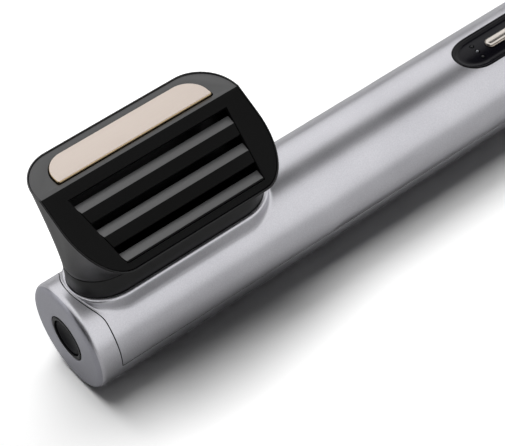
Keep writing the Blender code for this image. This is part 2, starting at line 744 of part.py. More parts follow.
def make_collar():
    """The collar in the upper shell, and the gasket on its ledge."""
    def ring(height, inset):
        return [(x, y, height) for x, y in collar_outline(-inset)]

    ledge = COLLAR_WALL + LEDGE_WIDTH
    ledge_low = LEDGE_TOP - LEDGE_THICK
    loft("collar", [ring(COLLAR_BOTTOM, 0.0), ring(COLLAR_TOP, 0.0), ring(COLLAR_TOP, COLLAR_WALL),
                    ring(LEDGE_TOP, COLLAR_WALL), ring(LEDGE_TOP, ledge), ring(ledge_low, ledge),
                    ring(ledge_low, COLLAR_WALL), ring(COLLAR_BOTTOM, COLLAR_WALL)], BLACK,
         HEAD_AXIS, closed=True)
    seal_low = LEDGE_TOP + CLEAR
    outer = COLLAR_WALL + CLEAR
    loft("collar_seal", [ring(seal_low, outer), ring(seal_low + SEAL_THICK, outer),
                         ring(seal_low + SEAL_THICK, ledge), ring(seal_low, ledge)], RUBBER,
         HEAD_AXIS, closed=True)


def make_contacts():
    """The supply contacts in the collar, and the block that meets them in the head."""
    half = CONTACT_LENGTH / 2
    box("contact_socket", (CONTACT_X - half, -CONTACT_HALF, CONTACT_LOW),
        (CONTACT_X + half, CONTACT_HALF, CONTACT_HIGH), BLACK)
    for index in range(PIN_COUNT):
        y = (index - (PIN_COUNT - 1) / 2) * PIN_PITCH
        low = CONTACT_HIGH + CLEAR
        cylinder("contact_pin_%d" % (index + 1), PIN_RADIUS, low, low + PIN_LENGTH, (CONTACT_X, y), BRASS,
                 TINY_STEPS)
    box("head_contact", (CONTACT_X - half, -CONTACT_HALF, HEAD_CONTACT_LOW),
        (CONTACT_X + half, CONTACT_HALF, HEAD_CONTACT_HIGH), BLACK)


def make_head_shell():
    """The flared shell of the head with its spigot, open below and above."""
    spigot = COLLAR_WALL + CLEAR
    spigot_inner = spigot + SPIGOT_WALL
    floor = NECK_Z + NECK_FLOOR
    rises = [index / FLARE_STEPS for index in range(FLARE_STEPS + 1)]
    first = NECK_FLOOR / (RIDGE_Z - NECK_Z)
    inner_rises = [first] + rises[1:]
    rings = [level_ring(SPIGOT_BOTTOM, spigot), level_ring(NECK_Z, spigot)]
    rings += [head_ring(rise, 0.0) for rise in rises]
    rings += [head_ring(rise, HEAD_WALL) for rise in reversed(inner_rises)]
    rings += [level_ring(floor, spigot_inner), level_ring(SPIGOT_BOTTOM, spigot_inner)]
    loft("head_shell", rings, BLACK, HEAD_AXIS, closed=True)


def make_catch():
    """The plate on the head's spigot, with the window that the latch works in."""
    catch = box("head_catch", (CATCH_X, -CATCH_HALF, CATCH_BOTTOM),
                (CATCH_X + CATCH_THICK, CATCH_HALF, CATCH_TOP), STEEL)
    margin = LATCH_HALF + CLEAR
    boolean(catch, box("catch_window", (CATCH_X - OVERRUN, -margin, CATCH_WINDOW_LOW),
                       (CATCH_X + CATCH_THICK + OVERRUN, margin, CATCH_WINDOW_HIGH)))


def grille_bottom():
    """Length of the grille opening down the front slope, measured from the ridge."""
    gaps = LOUVRE_COUNT * (SLOT_WIDTH + RAMP_WIDTH)
    return GRILLE_TOP + gaps + (LOUVRE_COUNT - 1) * LAND_WIDTH


def grille_outline(inset):
    """The grille opening on the front slope, drawn in by an inset."""
    top = -GRILLE_TOP - inset
    bottom = -grille_bottom() - LAST_LAND - CLEAR + inset
    return [(-GRILLE_HALF_BOTTOM + inset, bottom), (GRILLE_HALF_BOTTOM - inset, bottom),
            (GRILLE_HALF_TOP - inset, top), (-GRILLE_HALF_TOP + inset, top)]


def plate_outline(inset):
    """The heated plate's outline on the rear slope, straight near the ridge and rounded behind."""
    corner_x = PLATE_CORNER_X - inset
    corner_y = PLATE_CORNER_Y - inset
    mid_x = PLATE_HALF - PLATE_CORNER_X
    mid_y = PLATE_END - PLATE_CORNER_Y
    points = [(-PLATE_HALF + inset, PLATE_START + inset), (PLATE_HALF - inset, PLATE_START + inset)]
    points += arc((mid_x, mid_y), corner_x, corner_y, 0.0, math.pi / 2, CORNER_STEPS)
    points += arc((-mid_x, mid_y), corner_x, corner_y, math.pi / 2, math.pi, CORNER_STEPS)
    return points


def make_face():
    """The roof-shaped face, cut to the shell's inside, with its two openings."""
    reach = RIM_STRAIGHT + RIM_CORNER
    front = -RIM_FRONT_MID - RIM_FRONT_CORNER - OVERRUN
    rear = RIM_REAR_MID + RIM_REAR_CORNER + OVERRUN
    section = [(front, roof_height(front)), (RIDGE_Y, RIDGE_Z), (rear, roof_height(rear)),
               (rear, roof_height(rear) - FACE_THICK), (RIDGE_Y, RIDGE_Z - FACE_THICK),
               (front, roof_height(front) - FACE_THICK)]
    face = bar("face_frame", section, -reach, reach, BLACK, HEAD_AXIS)
    inset = HEAD_WALL + CLEAR
    rises = [index / FLARE_STEPS for index in range(1, FLARE_STEPS + 1)]
    rings = [head_ring(rise, inset) for rise in rises]
    rings.append([(x, y, RIDGE_Z + OVERRUN) for x, y in head_outline(1.0, inset)])
    boolean(face, loft("head_cavity", rings, parent=HEAD_AXIS), "INTERSECT")
    boolean(face, prism("grille_opening", grille_outline(0.0), -FACE_THICK - OVERRUN, OVERRUN,
                        parent=GRILLE_PLANE))
    boolean(face, prism("plate_opening", plate_outline(-CLEAR), -FACE_THICK - OVERRUN, OVERRUN,
                        parent=PLATE_PLANE))


def make_louvres():
    """The blades: each has a ramp that rises out of its slot and a land level with the face."""
    fit = prism("grille_space", grille_outline(CLEAR), -RAMP_DEPTH - FACE_THICK, OVERRUN,
                parent=GRILLE_PLANE)
    for index in range(LOUVRE_COUNT):
        slot = GRILLE_TOP + index * (SLOT_WIDTH + RAMP_WIDTH + LAND_WIDTH)
        ramp = slot + SLOT_WIDTH
        land = ramp + RAMP_WIDTH
        last = index == LOUVRE_COUNT - 1
        end = land + (LAST_LAND if last else LAND_WIDTH)
        section = [(-ramp, -RAMP_DEPTH), (-land, 0.0), (-end, 0.0), (-end, -BLADE_THICK),
                   (-land - BLADE_THICK / 2, -BLADE_THICK), (-ramp, -RAMP_DEPTH - BLADE_THICK)]
        blade = bar("louvre_blade_%d" % (index + 1), section, -GRILLE_HALF_TOP, GRILLE_HALF_TOP,
                    BLADE_GREY, GRILLE_PLANE)
        boolean(blade, fit, "INTERSECT")


def make_plate():
    """The heated plate with the heater and the carrier under it."""
    plate = prism("heated_plate", plate_outline(0.0), PLATE_PROUD - PLATE_THICK, PLATE_PROUD, CHAMPAGNE,
                  PLATE_PLANE)
    bevel = plate.modifiers.new("edge", "BEVEL")
    bevel.width = PLATE_EDGE
    bevel.segments = 2
    bevel.limit_method = "ANGLE"
    bevel.angle_limit = math.radians(60.0)
    heater_top = PLATE_PROUD - PLATE_THICK - CLEAR
    inner = CARRIER_WALL + CLEAR
    box("plate_heater", (-CARRIER_HALF + inner, CARRIER_START + inner, heater_top - HEATER_THICK),
        (CARRIER_HALF - inner, CARRIER_END - inner, heater_top), CERAMIC, PLATE_PLANE)
    carrier_top = -FACE_THICK - CLEAR
    carrier_low = carrier_top - CARRIER_DEPTH
    carrier = box("plate_carrier", (-CARRIER_HALF, CARRIER_START, carrier_low),
                  (CARRIER_HALF, CARRIER_END, carrier_top), BLACK, PLATE_PLANE)
    boolean(carrier, box("carrier_recess", (-CARRIER_HALF + CARRIER_WALL, CARRIER_START + CARRIER_WALL,
                                            heater_top - HEATER_THICK - CLEAR),
                         (CARRIER_HALF - CARRIER_WALL, CARRIER_END - CARRIER_WALL, 0.0),
                         parent=PLATE_PLANE))
    middle = (CARRIER_START + CARRIER_END) / 2
    for index, side in enumerate((-1, 1)):
        place = (side * CARRIER_SCREW_X, middle)
        hole = cylinder("carrier_hole_%d" % (index + 1), CARRIER_SCREW_RADIUS + CLEAR,
                        carrier_low - OVERRUN, 0.0, place, steps=TINY_STEPS, parent=PLATE_PLANE)
        boolean(carrier, hole)
        head_top = carrier_low - CLEAR
        screw = cylinder("carrier_screw_%d" % (index + 1), CARRIER_SCREW_RADIUS,
                         head_top - CARRIER_SCREW_HEAD / 2, heater_top - HEATER_THICK - CLEAR, place,
                         STEEL, TINY_STEPS, PLATE_PLANE)
        head = cylinder("carrier_screw_head_%d" % (index + 1), CARRIER_SCREW_HEAD,
                        head_top - CARRIER_SCREW_HEAD, head_top, place, None, TINY_STEPS, PLATE_PLANE)
        boolean(screw, head, "UNION")


def make_scoop():
    """The ramp under the collar that turns the air up."""
    outline = [(SCOOP_START, SCOOP_HIGH), (SCOOP_END, -SCOOP_LOW), (SCOOP_END, -SCOOP_LOW - SCOOP_THICK),
               (SCOOP_START, SCOOP_HIGH - SCOOP_THICK)]
    scoop = prism("air_scoop", outline, -BARREL_RADIUS, BARREL_RADIUS, BLACK)
    scoop.data.transform(Matrix.Rotation(math.pi / 2, 4, "X"))
    boolean(scoop, turned("scoop_space", disc_profile(BARREL_RADIUS - BARREL_WALL - CLEAR, 0.0,
                                                      SCOOP_END + OVERRUN)), "INTERSECT")


def make_heater():
    """The heater's sleeve, crossed boards, wire, spacer rings, fuse and thermostat."""
    end = HEATER_START + HEATER_LENGTH
    inner = HEATER_RADIUS - HEATER_WALL
    turned("heater_tube", ring_profile(HEATER_RADIUS, inner, HEATER_START, end), MICA, INNER_STEPS)
    for name, start in (("heater_ring_front", HEATER_START + RING_INSET),
                        ("heater_ring_rear", end - RING_INSET - RING_WIDTH)):
        turned(name, ring_profile(BARREL_RADIUS - BARREL_WALL - CLEAR, HEATER_RADIUS + RING_GROOVE, start,
                                  start + RING_WIDTH), RUBBER, INNER_STEPS)
    half = CROSS_THICK / 2
    cross_start = HEATER_START + CROSS_INSET
    cross_end = end - CROSS_INSET
    cross = box("heater_cross", (cross_start, -half, -CROSS_RADIUS), (cross_end, half, CROSS_RADIUS), MICA)
    boolean(cross, box("cross_board", (cross_start, -CROSS_RADIUS, -half),
                       (cross_end, CROSS_RADIUS, half)), "UNION")
    count = COIL_TURNS * TINY_STEPS
    radius = CROSS_RADIUS + CLEAR + COIL_WIRE
    length = cross_end - cross_start - 4 * COIL_WIRE
    points = []
    for index in range(count + 1):
        angle = math.tau * COIL_TURNS * index / count
        points.append((cross_start + 2 * COIL_WIRE + length * index / count, radius * math.cos(angle),
                       radius * math.sin(angle)))
    wire("heater_coil", points, COIL_WIRE, STEEL)
    off_board = half + CLEAR + FUSE_RADIUS
    place_along("thermal_fuse", FUSE_RADIUS, FUSE_X, FUSE_LENGTH, off_board, off_board, CERAMIC)
    cylinder("thermostat", THERMOSTAT_RADIUS, half + CLEAR, half + CLEAR + THERMOSTAT_THICK,
             (THERMOSTAT_X, half + CLEAR + THERMOSTAT_RADIUS), STEEL)


def place_along(name, radius, start, length, y, z, material, steps=SMALL_STEPS):
    """A small cylinder that lies along the barrel."""
    bm = bmesh.new()
    bmesh.ops.create_cone(bm, cap_ends=True, segments=steps, radius1=radius, radius2=radius, depth=length)
    turn = Matrix.Rotation(math.pi / 2, 4, "Y")
    bmesh.ops.transform(bm, matrix=turn, verts=bm.verts)
    bmesh.ops.translate(bm, verts=bm.verts, vec=(start + length / 2, 0.0, 0.0))
    obj = add_object(name, mesh_from_bmesh(name, bm), material, location=(0.0, y, z))
    return smooth(obj)


def panel_floor_top():
    """Height of the panel's floor above the barrel's axis."""
    return BARREL_RADIUS - PANEL_RECESS


def key_places():
    """Places along the barrel of the two round keys."""
    return [KEY_FIRST_X, KEY_FIRST_X + KEY_PITCH]


def make_panel():
    """The recessed tray of the control panel, with its posts for the board."""
    outer = BARREL_RADIUS + PANEL_PROUD
    low = BARREL_RADIUS - PANEL_RECESS - PANEL_FLOOR
    end = PANEL_START + PANEL_LENGTH
    tray = prism("panel_tray", panel_outline(0.0), 0.0, outer + OVERRUN, BLACK, PANEL_AXIS)
    boolean(tray, turned("panel_skin", disc_profile(outer, PANEL_START - OVERRUN, end + OVERRUN),
                         parent=PANEL_AXIS), "INTERSECT")
    boolean(tray, turned("panel_under", disc_profile(low, PANEL_START - OVERRUN, end + OVERRUN),
                         parent=PANEL_AXIS))
    recess = turned("panel_recess", ring_profile(outer + OVERRUN, panel_floor_top(),
                                                 PANEL_START - OVERRUN, end + OVERRUN), parent=PANEL_AXIS)
    boolean(recess, prism("recess_outline", panel_outline(PANEL_RIM), 0.0, outer + 2 * OVERRUN,
                          parent=PANEL_AXIS), "INTERSECT")
    boolean(tray, recess)
    travel = SLIDER_LENGTH / 2 - SLIDER_STEM_LENGTH / 2
    stem_start = SLIDER_START + travel
    slot = prism("slider_slot", capsule(stem_start + (SLIDER_STEM_LENGTH + SLIDER_TRAVEL) / 2,
                                        (SLIDER_STEM_LENGTH + SLIDER_TRAVEL) / 2 + 2 * CLEAR,
                                        SLIDER_STEM_HALF + CLEAR, SLIDER_STEM_HALF + CLEAR, 2),
                 0.0, outer + OVERRUN, parent=PANEL_AXIS)
    boolean(tray, slot)
    for index, x in enumerate(key_places()):
        boolean(tray, cylinder("key_hole_%d" % (index + 1), KEY_RADIUS + RUNNING_CLEAR, 0.0,
                               outer + OVERRUN, (x, 0.0), parent=PANEL_AXIS))
    for index, y in enumerate(lens_places()):
        boolean(tray, cylinder("lens_hole_%d" % (index + 1), LENS_RADIUS + CLEAR, 0.0, outer + OVERRUN,
                               (LENS_X, y), steps=TINY_STEPS, parent=PANEL_AXIS))
    post_top = math.sqrt((low + PANEL_FLOOR / 2) ** 2 - POST_SIDE ** 2)
    for index, x in enumerate((BOARD_START + POST_INSET, BOARD_START + BOARD_LENGTH - POST_INSET)):
        place = (x, POST_SIDE if index == 0 else -POST_SIDE)
        boolean(tray, cylinder("board_post_%d" % (index + 1), POST_RADIUS, BOARD_TOP + CLEAR, post_top,
                               place, steps=TINY_STEPS, parent=PANEL_AXIS), "UNION")


def lens_places():
    """Places across the barrel of the indicator lenses."""
    return [(index - (LENS_COUNT - 1) / 2) * LENS_PITCH for index in range(LENS_COUNT)]


def make_controls():
    """The slider, the two keys, the lenses, and the board with its switches."""
    floor = panel_floor_top()
    centre = SLIDER_START + SLIDER_LENGTH / 2
    slider = prism("power_slider", capsule(centre, SLIDER_LENGTH / 2, SLIDER_HALF, SLIDER_HALF, 3),
                   floor + CLEAR, floor + CLEAR + SLIDER_THICK, CHAMPAGNE, PANEL_AXIS)
    switch_top = BOARD_TOP + CLEAR + SWITCH_HEIGHT
    boolean(slider, prism("slider_stem", capsule(centre, SLIDER_STEM_LENGTH / 2, SLIDER_STEM_HALF,
                                                 SLIDER_STEM_HALF, 2), switch_top + CLEAR,
                          floor + CLEAR + SLIDER_THICK / 2, parent=PANEL_AXIS), "UNION")
    tact_top = BOARD_TOP + CLEAR + TACT_HEIGHT
    for name, x in zip(("heat_button", "cool_button"), key_places()):
        key = cylinder(name, KEY_RADIUS, tact_top + CLEAR + KEY_TRAVEL, floor + KEY_HEIGHT, (x, 0.0),
                       BLADE_GREY, INNER_STEPS, PANEL_AXIS)
        edge = key.modifiers.new("edge", "BEVEL")
        edge.width = KEY_EDGE
        edge.limit_method = "ANGLE"
    for index, x in enumerate(key_places()):
        box("tact_switch_%d" % (index + 1), (x - TACT_HALF, -TACT_HALF, BOARD_TOP + CLEAR),
            (x + TACT_HALF, TACT_HALF, tact_top), STEEL, PANEL_AXIS)
    for index, y in enumerate(lens_places()):
        top = math.sqrt(panel_floor_top() ** 2 - y ** 2) + LENS_PROUD
        cylinder("indicator_lens_%d" % (index + 1), LENS_RADIUS, BOARD_TOP + CLEAR, top, (LENS_X, y), LENS,
                 TINY_STEPS, PANEL_AXIS)
    box("circuit_board", (BOARD_START, -BOARD_HALF, BOARD_TOP - BOARD_THICK),
        (BOARD_START + BOARD_LENGTH, BOARD_HALF, BOARD_TOP), BOARD_GREEN, PANEL_AXIS)
    middle = centre + SLIDER_TRAVEL / 2
    box("slide_switch", (middle - SWITCH_LENGTH / 2, -SWITCH_HALF, BOARD_TOP + CLEAR),
        (middle + SWITCH_LENGTH / 2, SWITCH_HALF, switch_top), STEEL, PANEL_AXIS)


def make_fan():
    """The motor in its housing, the two rubber mounts, the shaft and the impeller."""
    turned("motor_housing", ring_profile(HOUSING_RADIUS, HOUSING_RADIUS - HOUSING_WALL, HOUSING_START,
                                         HOUSING_END), BLACK, INNER_STEPS)
    for name, start in (("motor_ring_front", MOUNT_FRONT_X), ("motor_ring_rear", MOUNT_REAR_X)):
        turned(name, ring_profile(BARREL_RADIUS - BARREL_WALL - CLEAR, HOUSING_RADIUS + CLEAR, start,
                                  start + MOUNT_WIDTH), RUBBER, INNER_STEPS)
    end = MOTOR_START + MOTOR_LENGTH
    bore = SHAFT_RADIUS + RUNNING_CLEAR
    floor = end - SHAFT_DEPTH - CLEAR
    motor = turned("motor", [(0.0, floor), (bore, floor), (bore, end), (MOTOR_RADIUS, end),
                             (MOTOR_RADIUS, MOTOR_START), (0.0, MOTOR_START)], STEEL, INNER_STEPS)
    fin_reach = HOUSING_RADIUS - HOUSING_WALL - CLEAR
    for index in range(MOTOR_FIN_COUNT):
        fin = box("motor_fin_%d" % (index + 1), (MOTOR_START + OVERRUN, -MOTOR_FIN_THICK / 2,
                                                 MOTOR_RADIUS - MOTOR_FIN_THICK),
                  (end - OVERRUN, MOTOR_FIN_THICK / 2, fin_reach))
        fin.data.transform(Matrix.Rotation(math.tau * index / MOTOR_FIN_COUNT, 4, "X"))
        boolean(motor, fin, "UNION")
    fan_end = FAN_START + FAN_LENGTH
    turned("motor_shaft", disc_profile(SHAFT_RADIUS, end - SHAFT_DEPTH, fan_end), STEEL, SMALL_STEPS)
    fan = turned("impeller", ring_profile(FAN_HUB, SHAFT_RADIUS + CLEAR, FAN_START, fan_end), BLACK,
                 INNER_STEPS)
    for index in range(FAN_BLADES):
        blade = box("fan_blade_%d" % (index + 1), (-FAN_LENGTH / 2, -FAN_BLADE_THICK / 2, FAN_HUB / 2),
                    (FAN_LENGTH / 2, FAN_BLADE_THICK / 2, FAN_RADIUS))
        blade.data.transform(Matrix.Rotation(FAN_BLADE_PITCH, 4, "Z"))
        blade.data.transform(Matrix.Rotation(math.tau * index / FAN_BLADES, 4, "X"))
        blade.location = (FAN_START + FAN_LENGTH / 2, 0.0, 0.0)
        boolean(fan, blade, "UNION")


def make_inlet():
    """The slotted rear sleeve and the filter inside it."""
    end = INLET_START + INLET_LENGTH
    inner = BARREL_RADIUS - INLET_WALL
    tenon = BARREL_RADIUS - BARREL_WALL - CLEAR
    tenon_inner = tenon - INLET_WALL / 2
    sleeve = turned("inlet_grille", [(BARREL_RADIUS, end), (BARREL_RADIUS, INLET_START),
                                     (tenon, INLET_START), (tenon, INLET_START - INLET_TENON),
                                     (tenon_inner, INLET_START - INLET_TENON),
                                     (tenon_inner, INLET_START + INLET_WALL / 2),
                                     (inner, INLET_START + INLET_WALL), (inner, end)], BLACK)
    middle = (INLET_START + end) / 2 + INLET_WALL / 2
    for index in range(INLET_SLOTS // 2):
        slot = box("inlet_slot_%d" % (index + 1), (middle - INLET_SLOT_LENGTH / 2, -INLET_SLOT_WIDTH / 2,
                                                   -BARREL_RADIUS - OVERRUN),
                   (middle + INLET_SLOT_LENGTH / 2, INLET_SLOT_WIDTH / 2, BARREL_RADIUS + OVERRUN))
        slot.data.transform(Matrix.Rotation(math.tau * index / INLET_SLOTS, 4, "X"))
        boolean(sleeve, slot)
    outer = inner - CLEAR
    turned("inlet_filter", ring_profile(outer, outer - FILTER_WALL, INLET_START + INLET_WALL + CLEAR,
                                        end - CAP_TENON - CLEAR), RUBBER, INNER_STEPS)


def make_rear():
    """The end cap, its two screws and the swivelling cord gland."""
    start = INLET_START + INLET_LENGTH + CLEAR
    cap_inner = BARREL_RADIUS - INLET_WALL - CLEAR
    end = BARREL_LENGTH - GLAND_PROUD
    hole = GLAND_RADIUS + RUNNING_CLEAR
    profile = [(hole, end)]
    for x, radius in arc((end - CAP_EDGE, BARREL_RADIUS - CAP_EDGE), CAP_EDGE, CAP_EDGE, 0.0, math.pi / 2,
                         EDGE_STEPS):
        profile.append((radius, x))
    profile += [(BARREL_RADIUS, start), (cap_inner, start), (cap_inner, start - CAP_TENON),
                (cap_inner - CAP_WALL, start - CAP_TENON), (cap_inner - CAP_WALL, end - CAP_WALL),
                (hole, end - CAP_WALL)]
    cap = turned("rear_cap", profile, BLACK)
    for index, side in enumerate((-1, 1)):
        make_cap_screw(cap, index + 1, side * CAP_SCREW_OFFSET, end)
    inside = end - CAP_WALL - RUNNING_CLEAR
    turned("cord_gland", [(GLAND_BORE, BARREL_LENGTH), (GLAND_RADIUS - GLAND_TAPER, BARREL_LENGTH),
                          (GLAND_RADIUS, BARREL_LENGTH - 2 * GLAND_TAPER), (GLAND_RADIUS, inside),
                          (GLAND_FLANGE, inside), (GLAND_FLANGE, inside - GLAND_FLANGE_THICK),
                          (GLAND_BORE, inside - GLAND_FLANGE_THICK)], RUBBER, INNER_STEPS)


def make_cap_screw(cap, number, y, end):
    """A sunk screw in the rear face of the end cap."""
    bm = bmesh.new()
    bmesh.ops.create_cone(bm, cap_ends=True, segments=SMALL_STEPS, radius1=CAP_SCREW_HEAD + CLEAR,
                          radius2=CAP_SCREW_HEAD + CLEAR, depth=2 * (CAP_SCREW_HEAD_DEPTH + CLEAR))
    bmesh.ops.transform(bm, matrix=Matrix.Rotation(math.pi / 2, 4, "Y"), verts=bm.verts)
    boolean(cap, add_object("screw_sink_%d" % number, mesh_from_bmesh("screw_sink", bm),
                            location=(end, y, 0.0)))
    seat = end - CAP_SCREW_HEAD_DEPTH
    start = seat - CAP_SCREW_LENGTH
    boolean(cap, place_along("screw_hole_%d" % number, CAP_SCREW_RADIUS + CLEAR, start - OVERRUN,
                             CAP_SCREW_LENGTH + 2 * OVERRUN, y, 0.0, None))
    screw = place_along("rear_screw_%d" % number, CAP_SCREW_RADIUS, start, CAP_SCREW_LENGTH
                        + CAP_SCREW_HEAD_DEPTH / 2, y, 0.0, STEEL)
    boolean(screw, place_along("screw_head_%d" % number, CAP_SCREW_HEAD, seat, CAP_SCREW_HEAD_DEPTH, y,
                               0.0, None), "UNION")


make_shells()
make_nose()
make_collar()
make_contacts()
make_head_shell()
make_catch()
make_face()
make_louvres()
make_plate()
make_scoop()
make_heater()
make_panel()
make_controls()
make_fan()
make_inlet()
make_rear()
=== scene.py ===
"""Looks of the hot air brush: every outer piece rebuilt with its finish, a soft studio and the camera."""
import logging
import math
from collections.abc import Callable, Iterable, Iterator, Sequence
from contextlib import contextmanager
from dataclasses import dataclass, field
from enum import Enum
from functools import cache

import bmesh
import bpy
from mathutils import Matrix, Vector


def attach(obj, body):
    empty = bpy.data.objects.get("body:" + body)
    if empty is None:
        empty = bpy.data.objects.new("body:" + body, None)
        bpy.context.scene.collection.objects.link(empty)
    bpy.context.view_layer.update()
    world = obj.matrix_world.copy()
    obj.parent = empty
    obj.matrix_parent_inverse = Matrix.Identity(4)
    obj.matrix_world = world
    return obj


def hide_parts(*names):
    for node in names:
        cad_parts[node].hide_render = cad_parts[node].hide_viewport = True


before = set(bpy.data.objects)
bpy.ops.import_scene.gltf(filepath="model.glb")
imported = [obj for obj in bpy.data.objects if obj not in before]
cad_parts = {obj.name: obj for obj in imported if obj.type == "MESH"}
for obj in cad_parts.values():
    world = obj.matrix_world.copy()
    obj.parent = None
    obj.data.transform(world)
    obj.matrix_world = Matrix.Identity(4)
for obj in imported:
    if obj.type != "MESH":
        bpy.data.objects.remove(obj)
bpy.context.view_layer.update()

LOG = logging.getLogger("hot_air_brush")
Obj = bpy.types.Object
Tree = bpy.types.NodeTree
Triple = tuple[float, float, float]
Point2 = tuple[float, float]
Feeds = dict[str | int, object]
MM = 0.001
NOSE_X = -0.145
AXIS_Z = 0.020
WELD = 0.000004
SHELL_WELD = 0.00001
ON_AXIS = Matrix.Translation((NOSE_X, 0.0, AXIS_Z))
WHITE = (1.0, 1.0, 1.0, 1.0)
NOISE_LOW, NOISE_HIGH = 0.3, 0.7


class Body(Enum):
    """The CAD bodies that pieces ride on."""

    HANDLE = "handle"
    HEAD = "head"
    RELEASE = "release"
    SLIDER = "slider"
    HEAT_KEY = "heat_key"
    COOL_KEY = "cool_key"
    GLAND = "gland"


class Cut(Enum):
    """What a boolean does."""

    AWAY = "DIFFERENCE"
    KEEP = "INTERSECT"
    JOIN = "UNION"


class Grain(Enum):
    """How a finish's fine pattern runs: its scales along the barrel, across it and up."""

    EVEN = (1.0, 1.0, 1.0)
    ALONG = (0.04, 1.0, 1.0)


def feed(tree: Tree, node: bpy.types.Node, feeds: Feeds) -> bpy.types.Node:
    """Set or join a node's inputs.

    Args:
        feeds: for each input a value, or the node or socket that it takes.

    Returns:
        The node.
    """
    for key, value in feeds.items():
        if isinstance(value, bpy.types.Node):
            value = value.outputs[0]
        if isinstance(value, bpy.types.NodeSocket):
            tree.links.new(value, node.inputs[key])
        else:
            node.inputs[key].default_value = value
    return node


def added(tree: Tree, kind: str, feeds: Feeds | None = None,
          **settings: object) -> bpy.types.Node:
    """Add a node of a kind to a tree, with its settings and inputs."""
    node = tree.nodes.new(f"ShaderNode{kind}")
    for name, value in settings.items():
        setattr(node, name, value)
    return feed(tree, node, feeds or {})


def material_with_nodes(name: str) -> bpy.types.Material:
    """A new material with Blender's own starting nodes."""
    material = bpy.data.materials.new(name)
    material.use_nodes = True
    return material


@dataclass(frozen=True)
class Finish:
    """A procedural finish on Object coordinates.

    Args:
        colour: main colour, linear.
        shade: colour that the fine pattern mixes in.
        grain_mm: size of the fine pattern.
        relief_mm: depth of the fine pattern in the surface.
        gloss: how strongly a surface that isn't metal mirrors, where 0.5 is plain plastic.
    """

    name: str
    slot: str
    colour: Triple
    shade: Triple
    roughness: float
    metallic: float = 0.0
    spread: float = 0.05
    grain: Grain = Grain.EVEN
    grain_mm: float = 0.5
    relief_mm: float = 0.004
    coat: float = 0.0
    coat_roughness: float = 0.08
    cloud_mm: float = 28.0
    gloss: float = 0.5

    def build(self) -> bpy.types.Material:
        """Make the material.

        Returns:
            The material, with its colour, roughness and relief from two noises.
        """
        material = material_with_nodes(self.name)
        tree = material.node_tree
        place = added(tree, "TexCoord").outputs["Object"]
        fine = self._noise(tree, place, self.grain_mm, 3.0, self.grain)
        cloud = self._noise(tree, place, self.cloud_mm, 2.0, Grain.EVEN)
        weigh = added(tree, "Math", {0: cloud, 1: 0.4}, operation="MULTIPLY")
        both = added(tree, "Math", {0: fine, 1: 0.6, 2: weigh}, operation="MULTIPLY_ADD")
        ramp = added(tree, "ValToRGB", {0: both})
        for stop, position, colour in zip(ramp.color_ramp.elements, (NOISE_LOW, NOISE_HIGH),
                                          (self.shade, self.colour)):
            stop.position, stop.color = position, (*colour, 1.0)
        rough = added(tree, "MapRange", {
            "Value": both, "From Min": NOISE_LOW, "From Max": NOISE_HIGH,
            "To Min": max(0.02, self.roughness - self.spread),
            "To Max": min(1.0, self.roughness + self.spread)})
        bump = added(tree, "Bump", {"Strength": 0.6, "Distance": self.relief_mm * MM, "Height": fine})
        feed(tree, tree.nodes["Principled BSDF"], {
            "Base Color": ramp, "Metallic": self.metallic, "Roughness": rough, "Normal": bump,
            "Specular IOR Level": self.gloss, "Coat Weight": self.coat,
            "Coat Roughness": self.coat_roughness})
        material.diffuse_color = (*self.colour, 1.0)
        return material

    @staticmethod
    def _noise(tree: Tree, place: bpy.types.NodeSocket, size_mm: float, detail: float,
               grain: Grain) -> bpy.types.Node:
        """Add a noise with grains of a given size, even or drawn out along the barrel."""
        scales = [share / (size_mm * MM) for share in grain.value]
        mapping = added(tree, "Mapping", {"Vector": place, "Scale": scales})
        return added(tree, "TexNoise", {"Vector": mapping, "Scale": 1.0, "Detail": detail, "Roughness": 0.55})


SATIN_SILVER = Finish("satin_silver", "silver_shell", (0.765, 0.76, 0.80), (0.60, 0.595, 0.635), 0.34, 0.9,
                      0.03, grain_mm=0.4, relief_mm=0.0022)
# Darker copy of the satin silver for the flat nose face: painted shade for the dimmer light that face gets.
SHADED_NOSE_SILVER = Finish("painted_shade_nose_silver", "silver_shell", (0.485, 0.485, 0.54), (0.385, 0.385, 0.43), 0.34, 0.9,
                     0.03, grain_mm=0.4, relief_mm=0.0022)
SATIN_BLACK = Finish("satin_black", "black_plastic", (0.011, 0.011, 0.0115), (0.008, 0.008, 0.0085), 0.36,
                     spread=0.04, grain_mm=0.25, relief_mm=0.002, gloss=0.38)
# Lighter, glossier copy of the black plastic for faces that look up behind the ridge: the lighter colour is
# painted light, the higher gloss is the surface's own.
LIT_GLOSSY_BLACK = Finish("painted_light_glossy_black", "black_plastic", (0.026, 0.026, 0.027), (0.020, 0.020, 0.021), 0.34,
                    spread=0.04, grain_mm=0.25, relief_mm=0.002, gloss=1.0)
# Darker, matt copy of the black plastic for the face's front slope: the darker colour is painted shade, the
# low gloss is the surface's own.
SHADED_MATT_BLACK = Finish("painted_shade_matt_black", "black_plastic", (0.006, 0.006, 0.006), (0.0045, 0.0045, 0.0045), 0.5,
                    spread=0.05, grain_mm=0.22, relief_mm=0.004, gloss=0.12)
